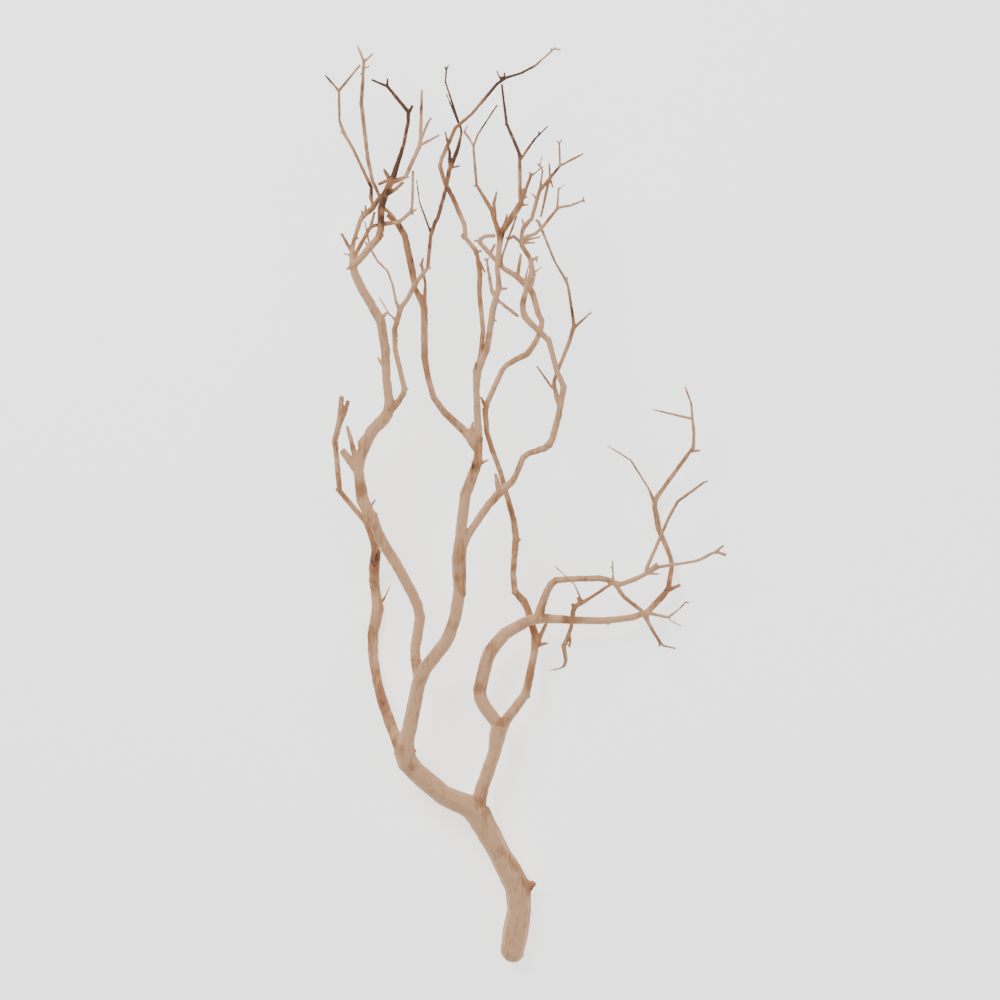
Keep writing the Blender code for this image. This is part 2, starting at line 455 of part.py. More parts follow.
        TAN,
    ),
    Limb(
        "crown_left_twig", "centre_stem_upper",
        ((500, 239.5, 115.5, 2.2), (497.6, 229, 117.3, 2.2)),
        (
            (495.8, 223, 118, 2.2), (494, 216, 118.5, 2), (491.5, 210, 118.5, 1.9), (488, 205, 118, 1.6),
            (483.5, 198, 117, 1.3), (480, 191.5, 116, 1.2), (476.6, 185, 115, 1.3), (475.5, 177, 113.5, 1),
            (474.5, 168, 112, 1), (474, 159, 111, 1), (473.6, 151, 110, 1.1), (473.6, 145.8, 109.5, 1.1),
            (475.5, 140.5, 109, 0.9), (478.3, 133.5, 108.5, 0.9), (482.2, 126.7, 108, 0.9),
            (487, 119, 107.5, 0.8), (492, 111.6, 107, 0.8), (497.2, 105, 107, 0.7),
        ),
        (
            (
                (495.2, 218, 118.5, 1.6), (494.5, 210, 119.2, 1.6), (493.8, 203.7, 119.5, 1.5),
                (495.2, 197.5, 120, 1), (496.7, 191.5, 120.5, 0.9),
            ),
            ((476.3, 185.5, 115, 0.9), (473, 186.2, 115, 0.6)),
            (
                (473.4, 146.5, 109.5, 1), (470, 139.5, 107.5, 0.9), (466.3, 134.7, 104.5, 0.9),
                (463.8, 131.4, 101.5, 0.9),
            ),
            ((464.4, 132, 102.3, 0.8), (467.6, 125.6, 104, 0.6)),
        ),
        TAN,
    ),
    Limb(
        "crown_middle_twig", "centre_stem_upper",
        ((500.5, 239, 115.8, 2.8), (503, 229.8, 117, 2.9)),
        (
            (506, 224.5, 117.5, 3), (510.5, 218.5, 118.2, 3), (515, 212.5, 119, 3), (518.7, 206.8, 119.5, 2.9),
            (521.3, 201, 120, 2.5), (522.6, 195, 120, 1.9), (523.6, 188, 119.5, 1),
        ),
        (
            (
                (522, 200, 119.3, 1.7), (525.5, 192, 118.3, 1.6), (527.5, 185, 117.5, 1.4),
                (529, 178.5, 116.5, 1.5), (531, 174.8, 116, 1.4), (534.3, 173.7, 115.5, 0.8),
                (538.5, 170, 115, 0.7), (543, 166.2, 114.5, 0.6),
            ),
            ((530.5, 175.7, 116, 0.9), (529.3, 171.5, 116, 0.7)),
            ((521.8, 199, 119.7, 1.4), (525, 198, 119.7, 1.1), (527.6, 196.4, 119.7, 0.8)),
            ((519.5, 205.5, 119.5, 1.4), (524, 205, 119.7, 0.8), (528.5, 204.5, 119.7, 0.6)),
            ((503.5, 226, 118, 1.2), (505.7, 219, 119, 0.8), (507.5, 213.7, 119.5, 0.7)),
        ),
        TAN,
    ),
    Limb(
        "drop_twig", "crown_middle_twig",
        ((520.8, 203, 119.5, 1.8), (519.9, 196, 117, 1.7)),
        (
            (519.8, 188, 115.5, 1.5), (520, 179, 114, 1.6), (520.3, 170, 112.5, 1.6),
            (520.5, 162, 111, 1.7), (519.6, 154, 109.5, 1.6), (516.5, 146, 108, 1.4), (513.2, 138, 106.5, 1.4),
            (510, 130.5, 105, 1.4), (506.7, 124, 104, 1.4), (505.8, 117, 102.8, 1), (505.2, 109, 101.5, 1),
            (504, 101, 100.5, 1.1), (502.7, 93, 99, 1), (502, 87, 97.5, 1), (501.8, 84.3, 96, 1),
        ),
        (
            (
                (520.7, 159, 110.5, 1.3), (522.8, 155.3, 110.3, 1.2), (527, 149.3, 110, 0.9),
                (531, 143.8, 110, 0.9), (535, 138.7, 110, 1), (539, 134.3, 110, 1.2), (542.5, 131, 110, 0.8),
                (547.8, 126, 110, 0.6),
            ),
            ((539, 134.5, 110, 0.9), (538.6, 131.2, 110, 0.6)),
            ((506.5, 123.5, 104, 1.1), (504.9, 125, 104, 0.8)),
        ),
        DARK,
    ),
    Limb(
        "right_arm", "centre_stem_lower",
        ((461.5, 549, 89, 4.2), (467, 537, 88, 3.9), (470.8, 530.5, 88, 3.7)),
        (
            (476, 522, 88.3, 3.6), (482, 513, 89, 3.6), (488.5, 504.7, 90, 3.7),
            (495, 497.3, 91, 3.8), (501, 491.3, 92, 4.1), (506.5, 486.5, 92.5, 3.7), (511.7, 481.7, 93, 3.3),
            (515.5, 476, 93.5, 3), (518, 469.5, 94.2, 3), (520, 463, 95, 3), (523.3, 457, 95.5, 3),
            (529, 453.2, 96, 2.8), (537, 451, 96.5, 2.9), (544, 448.5, 97, 3.3), (549.5, 444.5, 97.5, 3.6),
            (552.5, 438.5, 98, 3.2), (554.6, 431, 98.3, 3), (556.6, 423, 98.6, 3), (558.7, 415, 99, 3),
            (560, 407, 99.3, 3.1), (561.3, 400, 99.6, 3), (562.8, 393, 100, 3.1), (563.7, 386.5, 100.2, 3.2),
            (562, 381.3, 100.4, 2.9), (559, 376, 100.6, 2.6), (556.4, 370, 100.8, 2.6),
            (554.2, 363, 101, 2.7), (552.5, 355, 101.2, 2.7), (551, 347, 101.5, 2.7), (549, 340.8, 102, 2.9),
            (544.7, 336.3, 102.6, 2.9), (539.7, 331.7, 103.3, 3), (534.5, 326.8, 104, 3),
            (529.3, 322, 104.5, 3), (525, 316.5, 105, 3.2), (523, 310, 105.8, 3.1), (523, 303, 106.8, 3),
            (524.5, 296.5, 108, 2.7), (526, 290, 109, 2.5), (527.7, 283.5, 109.7, 2.5),
            (529.8, 277, 110.3, 2.5), (532, 271, 110.8, 2.8), (532.3, 265, 111, 2.6), (530.8, 259.5, 111.3, 2.4),
        ),
        (
            ((499, 489.5, 92, 3.2), (497.3, 484.5, 92.5, 2), (496.3, 478.5, 93, 1.6), (495.3, 473.3, 93, 1.5)),
            ((564, 387.5, 100.2, 2.4), (566.7, 385.3, 100.2, 1.4)),
            ((548.5, 338.5, 102, 2), (550.3, 336.7, 102.2, 1.2)),
            ((528.5, 289, 108.7, 1.6), (532.6, 284.7, 108.5, 1.6), (535, 277.5, 109, 1.2), (535.8, 273.5, 109, 0.7)),
            ((533, 274, 110.5, 1), (537.3, 271, 111, 0.7), (541.6, 266.7, 111.5, 0.6)),
            ((531, 260.5, 111, 1.8), (535.5, 257.2, 111, 1.6), (538.6, 256.6, 111, 1.2)),
            ((536, 257.3, 111, 1.2), (537.3, 260.5, 110.5, 1), (537.5, 263.2, 110, 0.6)),
        ),
        PALE,
    ),
    Limb(
        "right_arm_side_twig", "right_arm",
        ((559.8, 405, 98.7, 2.6), (556.3, 396.3, 96.5, 2.5)),
        (
            (554.3, 389, 94.8, 2.4), (553.8, 382.5, 93.6, 1.8), (555.2, 377, 93.3, 1.7),
            (557.8, 371, 93.5, 1.8), (561, 364.5, 94, 2), (564, 357, 94.5, 2.1), (567, 349, 95.2, 2.1),
            (569.7, 341, 96, 2), (572, 333, 97, 2), (573.8, 326.5, 98, 2), (573.2, 319, 99, 1.6),
            (571.7, 310, 100.2, 1.6), (570, 301, 101.5, 1.6), (568.9, 293, 102.7, 1.4),
            (568.2, 286.5, 103.5, 1.3), (566, 280.5, 104.3, 1.4), (562.6, 275.5, 105, 1.3),
            (558.5, 269.5, 106, 1.2), (555, 262, 107, 1.2), (552, 254.5, 108, 1.2), (549.8, 248, 108.7, 1.3),
            (547.5, 241.5, 109.3, 1.3), (545, 235.5, 110, 1.3), (543, 231, 110.3, 1.5),
            (540.5, 226, 110.7, 1.3), (538.3, 221.3, 111, 1.5), (535.5, 219.8, 111.5, 1.1),
        ),
        (
            (
                (554, 388, 94.7, 1.8), (550.5, 385.8, 94.5, 1.2), (545, 378, 94, 1), (541, 371.7, 93.5, 1.2),
                (537.3, 367.7, 93, 1), (536.8, 366, 93, 0.7),
            ),
            (
                (573.8, 328, 97.7, 1.5), (577, 325.5, 98, 0.8), (584, 320, 98.5, 0.8), (588, 315.5, 99, 0.7),
                (591.7, 311.7, 99.5, 0.6),
            ),
            ((566.5, 281, 104.3, 1.1), (567.4, 277, 104.5, 0.8)),
        ),
        TAN,
    ),
    Limb(
        "right_crown_twig", "right_arm",
        ((532, 263, 111.2, 2.2), (527.6, 254.3, 111.7, 2.3)),
        (
            (524.6, 250, 112, 2.4), (521.8, 245.5, 112.3, 2.3), (520.8, 240, 112.7, 2.2),
            (521.7, 233.5, 113.3, 2), (523.8, 226.8, 114, 2.2), (527.5, 222.8, 114.5, 2.1),
            (531.6, 218.5, 115, 2), (533.7, 211, 115.6, 2), (535.2, 204, 116, 1.9), (537, 197.5, 116.2, 2),
            (539.3, 191, 116.3, 1.8), (542.3, 186.2, 116.3, 1.7), (546.5, 181.8, 116, 1.5),
            (551, 177.5, 115.5, 1.4), (555.5, 171.8, 115, 1.5), (560, 165.8, 114, 1.3), (565.5, 163.2, 113.5, 1),
            (571.5, 160.5, 113, 0.9), (577.5, 157, 112.5, 0.9), (583.5, 153.5, 112, 0.9),
        ),
        (
            (
                (521.5, 243, 112.5, 1.8), (516.8, 238.6, 113.4, 1.8), (513.5, 236.3, 114, 1.7),
                (510, 238.3, 114.5, 1.4), (506.2, 238, 115, 1.4),
            ),
            ((524, 226, 114, 1), (522.9, 222, 114.3, 0.8), (521.8, 218.8, 114.5, 0.6)),
            ((521.5, 243.2, 112, 1.3), (529, 242, 111, 0.8), (535, 242.5, 111, 0.8)),
            (
                (521.5, 241.5, 111.8, 1.2), (530, 239.8, 110.5, 0.9), (536, 238.5, 110, 0.8),
                (540.5, 236.6, 109.7, 0.8),
            ),
            ((536.5, 198.5, 116.2, 1.2), (533.7, 196.5, 116.2, 0.9), (531.3, 193.3, 116.2, 0.6)),
            (
                (540, 190, 116.3, 1.2), (541, 181.5, 117, 0.9), (542.4, 174.5, 117.5, 0.8),
                (542.5, 170, 118, 0.8), (540.7, 166.3, 118.5, 0.8), (537, 163, 118.5, 0.6),
            ),
            ((539.8, 165.5, 118.5, 0.7), (540.3, 160, 118.8, 0.6), (541.9, 156.5, 119, 0.6)),
            ((550, 178.5, 115.8, 1), (549, 171.5, 116.5, 1), (549.1, 163.3, 117, 0.8)),
            ((550.3, 179, 115.7, 1), (551.2, 184, 115.7, 0.8), (552.8, 187.4, 115.7, 0.8)),
            (
                (549, 180.3, 115.7, 1.3), (547.2, 190, 114.5, 1.4), (544.8, 200.5, 113.7, 1.4),
                (542.6, 210, 113.2, 1.2), (540.8, 217, 113.3, 1.1),
            ),
            ((560, 166.5, 114, 1), (559.6, 158, 114.5, 0.9), (559.4, 150, 115, 0.9), (559.2, 142.5, 115.3, 0.9)),
            ((559.3, 143.5, 115.2, 0.7), (556.7, 140.5, 115.3, 0.6)),
            ((559.2, 143.3, 115.2, 0.7), (562.7, 138.7, 115.3, 0.6)),
        ),
        TAN,
    ),
    Limb(
        "right_crown_side_twig", "right_crown_twig",
        ((520.9, 240.5, 112.7, 1.8), (525.3, 237.3, 113.3, 1.7)),
        (
            (530, 236, 114, 1.6), (535.5, 233.5, 114.8, 1.5), (541, 228.7, 115.5, 1.5),
            (546, 223, 116, 1.4), (550.3, 217.5, 116.5, 1.4), (554.3, 212, 117, 1.4), (558, 207.7, 117.2, 1.4),
            (564, 206.2, 117.3, 1.1), (571, 205.3, 117.4, 1.1), (577, 203, 117.5, 1.1), (583.2, 200.5, 117.5, 1.1),
            (584.8, 202, 117.5, 0.7),
        ),
        (
            ((557.3, 208.5, 117.2, 1.1), (558, 200, 117.7, 0.9), (559, 192.5, 118, 0.9), (558.6, 187, 118, 0.8)),
            ((558.8, 189.5, 118, 0.7), (561.5, 187, 118, 0.6), (564.7, 184.3, 118, 0.6)),
            ((582.7, 200.7, 117.5, 0.8), (583.6, 197, 117.5, 0.6)),
            ((527.5, 237, 113.6, 1.5), (527.5, 235.4, 114.5, 1.3), (526, 234.8, 114.6, 0.9)),
        ),
        PALE,
    ),
    Limb(
        "ring_arm", "right_limb",
        ((500, 729, 35.5, 6.5), (494.7, 719.8, 35.8, 6.2)),
        (
            (490, 713.8, 36, 6.2), (484.5, 706.5, 36.7, 6.4), (480.7, 698.5, 37.6, 6.7),
            (479.6, 690, 38.6, 6.4), (481.2, 680, 40, 6.2), (483.4, 670, 41.5, 6.2), (486.6, 660, 43, 6.4),
            (491.3, 650, 44.5, 6.6), (497.8, 641, 45.7, 6.6), (505, 633.6, 46.5, 6.2), (512.5, 628.5, 47, 5.8),
            (520, 624.5, 47.3, 5.4), (528, 620.8, 47.2, 5.3), (535, 618.4, 47, 5.3), (541, 617.8, 46.8, 5.3),
        ),
        (
            ((486, 702, 36.8, 4), (488.6, 701.3, 36.8, 1.5)),
        ),
        PALE,
    ),
    Limb(
        "right_lower_limb", "ring_arm",
        ((535, 619, 47, 4.6), (546.5, 618.4, 46.5, 4.8)),
        (
            (556, 618.7, 45.5, 4.7), (564, 619.2, 44.5, 4.3), (573, 620, 43, 3.8), (582, 620.7, 41, 3.5),
            (592, 620.9, 39, 3.5), (602, 620.8, 36.5, 3.5), (612, 620.3, 34, 3.5), (622, 619.2, 31, 3.4),
            (632, 617.6, 28, 3.3), (640, 615.5, 25.5, 3.3), (646.5, 612.5, 23.5, 3),
        ),
        (
            ((608.5, 621, 35, 3), (609, 624, 35, 1.8), (608.2, 625, 35, 1.2)),
            ((646, 613, 23.5, 2.6), (648.5, 620, 22.5, 1.6), (649.8, 625.5, 22, 0.9)),
            (
                (646.5, 612.7, 23.4, 1.8), (653.5, 614.8, 22.5, 1.6), (661, 616.8, 21, 1.4),
                (668, 617.4, 20, 1.4), (673.5, 614, 20, 1), (679, 609.2, 20.3, 0.9), (683.5, 604, 20.6, 0.9),
                (686, 601.7, 21, 1.1), (689.5, 603.3, 21, 0.7),
            ),
            ((668, 617, 20, 1.1), (671, 620.7, 19.5, 0.9), (676, 623.7, 19, 0.7), (681.6, 626.5, 18.5, 0.6)),
        ),
        PALE,
    ),
    Limb(
        "far_right_limb", "right_lower_limb",
        ((643.5, 614.3, 24.3, 2.6), (651.3, 608, 22, 2.9)),
        (
            (657, 602, 20.5, 3), (663, 595.8, 18.5, 3), (668.3, 588.5, 15.5, 2.8), (670, 580, 12, 2.3),
            (671.6, 572, 9.5, 2.2), (671.7, 565, 7.5, 2.2), (670, 556.5, 6, 2.2), (667, 549, 5, 2.2),
            (664, 542, 4.2, 2.3), (661.3, 536, 3.6, 2.5), (658.5, 529, 3.1, 2.8), (656.8, 521.5, 3.2, 2.5),
            (655.5, 513.5, 4.3, 2.3), (654.5, 506.5, 6, 2.6), (654.8, 501, 8, 2.8), (658, 495.3, 11, 2.3),
            (662.5, 489.3, 14.5, 2.2), (667, 483, 18, 2.1), (671.5, 476.8, 21.5, 2), (676.2, 470, 25, 2),
            (681, 463, 28.5, 2), (685.6, 457, 31.5, 2), (690.2, 451.8, 34, 2), (693.2, 447, 36.5, 1.8),
            (693.7, 440, 39.5, 1.8), (693.7, 433, 42.5, 1.7), (692.7, 425.5, 45.5, 1.4), (691.6, 418, 48.5, 1.3),
            (691.6, 410.5, 51, 1.2), (691, 403, 53.5, 1.1), (689.3, 396, 55.5, 1), (687, 390.3, 57, 0.9),
            (684.9, 386.6, 58, 0.8),
        ),
        (
            ((668.7, 590, 15.5, 2.2), (674, 588.7, 16.5, 1.6), (680.5, 584.8, 18, 1.4)),
            ((691.5, 451, 35, 1.5), (697, 450, 35.5, 1.4), (700.5, 450.4, 36, 1.1)),
            (
                (691.8, 418.7, 48, 1.3), (686, 417.5, 49, 1.3), (678, 416.3, 50, 1.2), (670.5, 414.6, 51, 1),
                (664, 413, 52, 1), (657.5, 410.8, 53, 0.8), (652.7, 409.5, 53.5, 0.6),
            ),
            (
                (654, 501, 8.5, 1.7), (651.5, 494, 12, 1), (648, 487.5, 15, 0.9), (642.5, 479.5, 18.5, 0.8),
                (637.5, 471, 22, 0.8), (634, 465, 24.5, 0.8), (630.5, 460, 26.5, 0.9), (625.5, 457.7, 28, 0.7),
                (619.5, 453.8, 30, 0.7), (613, 449.4, 32, 0.6), (607.3, 445.5, 33.5, 0.6),
            ),
        ),
        TAN,
    ),
    Limb(
        "right_upper_limb", "ring_arm",
        ((538.5, 617, 47.5, 4.8), (541.3, 606, 48.5, 4.2)),
        (
            (543.3, 599, 49.5, 3.7), (547, 591, 51, 3.6), (551, 584.3, 52.3, 3.5), (556, 580, 53.2, 3.4),
            (563, 578.9, 53.8, 3), (571, 578.8, 54, 2.9), (580, 578.5, 54, 2.9), (590, 578, 53.6, 2.9),
            (599, 578.1, 53, 2.9), (606, 579.3, 52.3, 2.8), (612, 582.3, 51.3, 2.9), (617.5, 584, 50, 3),
            (623.5, 583.2, 48.7, 2.5), (630, 581, 47.5, 2.2), (637, 578.2, 46.3, 2.4), (643, 575.3, 45.3, 2.6),
            (648.5, 572.2, 44.5, 2.4), (654, 569.5, 43.7, 1.7), (659, 566.8, 43, 1.8), (665, 565.5, 42.3, 1.7),
            (673, 565, 41.7, 1.6), (682, 563.6, 41.3, 1.5), (691, 561.9, 41, 1.5), (699, 560, 41.3, 1.6),
            (706, 556.2, 42, 1.7), (712, 553.2, 42.7, 1.7), (717.5, 552.3, 43.3, 1.6), (726, 555, 44, 1.4),
        ),
        (
            ((715.5, 552, 43, 1.3), (719.5, 548.6, 43.6, 1.3), (723.7, 545.2, 44, 1.2)),
            ((649, 570.5, 45, 1.9), (653.7, 566.7, 46, 1.9), (657.5, 563.4, 46.7, 1.7)),
            ((647, 574, 44.7, 1.2), (653.5, 574, 45, 0.9), (660.3, 573.6, 45.3, 0.7)),
            ((613, 580.5, 52.5, 1.4), (612.6, 573.5, 54.5, 0.9), (612.7, 566.5, 56.5, 0.8), (612.6, 560, 58, 0.6)),
            ((612.7, 568, 56, 0.7), (609.5, 566.3, 56.5, 0.6)),
        ),
        PALE,
    ),
    Limb(
        "right_tip_twig", "right_upper_limb",
        ((645.5, 574, 45, 1.9), (647.2, 566.5, 47.5, 1.7)),
        (
            (650.2, 558.5, 49, 1.4), (653.7, 550.5, 50, 1.4), (657.2, 543, 51, 1.4), (661, 535, 52, 1.3),
            (665, 526, 53, 1.3), (669, 517, 54, 1.4), (673, 508.7, 55, 1.3), (677.7, 501.5, 56, 1.4),
            (684, 497, 57, 1.2), (691, 492.3, 58, 1.1), (698, 486.8, 59, 1.1), (704, 482.3, 60, 1),
            (708, 480.8, 60.5, 0.8),
        ),
        (),
        TAN,
    ),
    Limb(
        "crossing_twig", "right_upper_limb",
        ((615.5, 584.5, 49.8, 2.4), (619.7, 591.3, 47.3, 2.3)),
        (
            (624, 597, 45, 2), (629.5, 601.8, 42.5, 1.9), (635, 605.5, 40, 1.9), (640.5, 609.7, 37.8, 2.1),
            (644.3, 615, 36, 2), (648, 621.5, 34.5, 1.5), (652, 628.5, 33, 1.4), (656, 635.5, 31.7, 1.4),
            (659.3, 641.5, 30.7, 1.6), (663.5, 645.8, 30, 1.3), (669.5, 648, 29.5, 1.2), (676.3, 648.5, 29, 1),
        ),
        (
            ((659.8, 642.5, 30.5, 1.2), (659.2, 647.3, 30, 0.7)),
        ),
        TAN,
    ),
    Limb(
        "hanging_twig", "right_upper_limb",
        ((613, 583, 51.5, 1.9), (606.5, 586.8, 53, 1.6)),
        (
            (598.5, 592.3, 54.3, 1.7), (591, 597.5, 55.3, 1.6), (584.5, 601.3, 56, 1.7), (579, 603.7, 56.5, 2.2),
            (575, 606.5, 56.7, 2.7), (573, 612, 56.5, 2.5), (572.5, 620, 56, 2.4), (571, 628, 54.5, 2.1),
            (568.7, 635, 53, 2), (566, 641, 51.5, 2.2), (563.7, 646.5, 50, 2.4), (564.2, 653, 48, 1.8),
            (565.7, 660, 46, 1.9), (564.3, 665.3, 44.5, 1.6), (560, 668.6, 43.5, 1), (555, 670, 42.7, 0.8),
            (549.5, 670.4, 42, 0.7),
        ),
        (
            (
                (580.5, 603.2, 56.5, 1.6), (580.5, 598.5, 57.5, 1.2), (576.7, 590, 58.5, 0.9),
                (574.3, 584, 59.5, 0.9), (571, 580.7, 60.3, 0.8), (566.5, 577.3, 60.7, 0.7),
                (560, 570, 61, 0.7), (553.5, 565, 61.3, 0.6),
            ),
            ((579.5, 603, 56.7, 1.5), (577.4, 597, 57.5, 1.1)),
            ((581, 600.5, 57, 1), (582.4, 598.5, 57.2, 0.7)),
            ((569.2, 634, 53, 1.3), (570.6, 640, 51.7, 1.1), (568.9, 647.5, 50.5, 1.4)),
            ((573.8, 607.5, 56.5, 1.8), (571.8, 603.5, 56.5, 1.3)),
            ((564.2, 645.5, 50, 1.8), (561.3, 645.3, 50, 1.2)),
        ),
        TAN,
    ),
    Limb(
        "under_stem", "right_limb",
        ((501, 729, 35, 6.2), (506.8, 719, 34, 5.2)),
        (
            (513, 710.5, 33, 4.8), (519, 703, 32.2, 4.7), (524.7, 695.3, 31.5, 4.7), (527.5, 687, 31, 4.3),
            (529.5, 678, 30.5, 3.9), (531, 669, 30, 3.6), (532.7, 660, 30, 3.5), (534.5, 651, 30, 3.7),
            (535.4, 643, 30, 3.8), (534.8, 635, 30.3, 3.9), (532.8, 627, 31, 3.7), (530.7, 618, 32.5, 3.6),
            (528, 610, 34, 3.5), (524.3, 602, 36, 3.7), (519, 596.5, 38, 3.9), (514.8, 591, 40, 3.6),
            (513.3, 583, 42.5, 3), (513.2, 574, 45, 2.9), (513.7, 565, 48, 2.9), (514.7, 556, 51, 3),
            (515.5, 547, 54, 3.3), (515.8, 539, 56.5, 3.5), (515.2, 530, 59, 3), (514, 521, 62, 3),
            (511.7, 512, 65, 2.9), (509, 504, 68, 2.6), (506.4, 496, 71, 2.6), (504.4, 488, 74, 2.6),
            (502.6, 480, 77, 2.7), (500.4, 472, 80, 2.5), (497.8, 464, 82.5, 2.5), (494.8, 456, 84.5, 2.5),
            (491.6, 448, 86, 2.7), (488.4, 440, 87, 2.7), (486.7, 432, 87.5, 2.6), (485.6, 424, 88, 2.7),
            (485, 416, 88.3, 2.8), (485, 408, 88.6, 3),
        ),
        (
            ((485.5, 406.5, 88.8, 2), (482.6, 402.6, 89.2, 1.3), (480.5, 396.5, 89.7, 0.8)),
            ((527.5, 696, 31.5, 3.6), (529, 694.5, 31.5, 1.8)),
            (
                (536, 645, 31, 3), (538.5, 639.5, 32, 2.6), (542.3, 634, 33, 2), (544.8, 628.5, 34, 1.7),
                (546.5, 623, 35, 1.6),
            ),
            ((536.5, 645, 30.5, 3), (542, 643.6, 31.5, 2.3), (548.5, 642.8, 32, 0.9)),
            ((535, 634, 31, 2.4), (534, 628.5, 33.5, 1.8), (533, 625, 35.5, 1.4)),
            ((516.8, 540, 56.5, 2.6), (520, 539, 56.5, 1.8), (521.2, 539.5, 56.5, 1.1)),
            ((515, 593, 40, 3.2), (512.6, 593.3, 40.5, 2.2), (511.6, 592.5, 40.5, 1.2)),
        ),
        TAN,
    ),
    Limb(
        "looping_stem", "under_stem",
        ((485.2, 411, 88.5, 2.6), (488, 400.5, 89, 2.6)),
        (
            (491.5, 393.5, 89.5, 2.5), (495.3, 385.5, 90, 2.4), (498.6, 378, 90.5, 2.5),
            (502.3, 369.8, 91, 2.6), (507.3, 364.3, 91.5, 2.6), (514, 361, 92, 2.6), (521, 357.7, 92.5, 2.9),
            (528, 353.2, 93, 3.1), (533, 347, 93.3, 2.8), (536.7, 340, 93.7, 2.6), (539.5, 333, 94, 2.6),
            (541.6, 326, 94.5, 2.6), (541.5, 319.5, 95, 2.7), (538.3, 314, 96, 2.9), (536, 307, 97, 2.8),
            (534.5, 299.5, 98, 2.8), (532.7, 293.5, 99, 2.9), (529, 288, 100, 3.1), (523.5, 282, 101, 3.3),
            (517, 276.5, 102, 2.9), (510, 272.2, 103.3, 2.2), (503.5, 268.3, 104.5, 2.3),
            (497, 262, 105.7, 2.2), (491, 255.7, 106.5, 2.2), (485.5, 249.5, 107.3, 2.2),
            (480.3, 243.3, 108.2, 2.4), (480.7, 238.5, 109.3, 2), (485.5, 236, 111, 1.9), (491, 235.3, 112.7, 1.9),
            (495, 235.5, 114, 1.8),
        ),
        (
            ((542, 322, 95, 2), (544, 318.7, 95, 1.2)),
            ((480, 241, 109, 1.8), (476.5, 240, 109, 1.2), (473.5, 240.6, 109, 0.7)),
            ((490, 253.5, 107, 1.7), (492.7, 248.5, 108, 1.2), (495, 244, 109.5, 1.1)),
            (
                (517.5, 276.5, 102, 2), (519.3, 269, 103.5, 1.6), (520.2, 261, 105.5, 1.4),
                (520.8, 253.5, 107.3, 1.3),
            ),
            (
                (503, 268, 105, 1.6), (501.6, 262, 106.5, 1.3), (502.3, 255.5, 107.5, 1.2),
                (505, 248.5, 108.5, 1), (508.3, 240, 109.5, 0.9), (511.8, 230.5, 111, 0.9),
                (515, 221.5, 113, 0.9), (516.7, 216, 114, 0.9),
            ),
            ((527, 286, 100.3, 1.6), (525.3, 279, 102, 1), (527.8, 271, 103.5, 1.2), (528.6, 265.5, 104.5, 0.7)),
        ),
        PALE,
    ),
)


def points_needed(points):
    """The points without those that a straight, evenly tapered stretch already passes."""
    first = np.array(points[0])
    span = np.array(points[-1]) - first
    worst, at = 0.0, 0
    for number, point in enumerate(points[1:-1], start=1):
        offset = np.array(point) - first
        share = min(max(float(offset @ span) / float(span @ span), 0.0), 1.0)
        miss = float(np.linalg.norm(offset - span * share))
        if miss > worst:
            worst, at = miss, number
    if worst <= ROUTE_TOLERANCE:
        return points[:1] + points[-1:]
    return points_needed(points[: at + 1])[:-1] + points_needed(points[at:])


def seen_to_place(x, y, z):
    """A point as seen from above, drawn in towards the view's centre by its height, in mm."""
    scale = (EYE_HEIGHT - z) / EYE_HEIGHT
    return Vector(((x - VIEW_CENTRE_X) * scale, (VIEW_CENTRE_Y - y) * scale, z))


def shape_of(radii):
    """How many sides a tube has, and what its radii are multiplied by."""
    mean = sum(radii) / len(radii)
    for least, sides, factor in SIDES:
        if mean >= least:
            return sides, factor
    return SIDES[-1][1:]


def rings_along(points):
    """One ring of corners at each point, square to the route there, with its direction."""
    places = [seen_to_place(*point[:3]) for point in points]
    radii = [max(point[3], FEWEST_RADIUS) for point in points]
    sides, factor = shape_of(radii)
    steps = [(b - a).normalized() for a, b in zip(places, places[1:])]
    directions = [steps[0]] + [(a + b).normalized() for a, b in zip(steps, steps[1:])] + [steps[-1]]
    up = Vector((0, 0, 1))
    if abs(directions[0].dot(up)) > 0.9:
        up = Vector((0, 1, 0))
    rings = []
    for place, radius, direction in zip(places, radii, directions):
        up = (up - direction * up.dot(direction)).normalized()
        side = direction.cross(up)
        turns = [2 * pi * i / sides for i in range(sides)]
        rings.append([place + (up * cos(t) + side * sin(t)) * radius * factor for t in turns])
    return rings, directions


def tube(name, rings):
    """A closed tube through the rings, as an object in metres."""
    mesh = bpy.data.meshes.new(name)
    bm = bmesh.new()
    rows = [[bm.verts.new(corner * STEP) for corner in ring] for ring in rings]
    count = len(rows[0])
    for low, high in zip(rows, rows[1:]):
        for i in range(count):
            j = (i + 1) % count
            bm.faces.new((low[i], low[j], high[j], high[i]))
    bm.faces.new(rows[0][::-1])
    bm.faces.new(rows[-1])
    bmesh.ops.recalc_face_normals(bm, faces=bm.faces)
    bm.to_mesh(mesh)
    bm.free()
    obj = bpy.data.objects.new(name, mesh)
    bpy.context.scene.collection.objects.link(obj)
    return obj


def join(carrier, other):
    """Make the other tube one body with its carrier."""
    modifier = carrier.modifiers.new("Join", "BOOLEAN")
    modifier.operation = "UNION"
    modifier.solver = "EXACT"
    modifier.object = other
    bpy.context.view_layer.objects.active = carrier
    bpy.ops.object.modifier_apply(modifier=modifier.name)
    bpy.data.objects.remove(other, do_unlink=True)


def wood(name, colour):
    material = bpy.data.materials.new(name)
    material.use_nodes = True
    shader = material.node_tree.nodes["Principled BSDF"]
    shader.inputs["Base Color"].default_value = (*colour, 1)
    shader.inputs["Roughness"].default_value = ROUGHNESS
    shader.inputs["Metallic"].default_value = 0.0
    return material


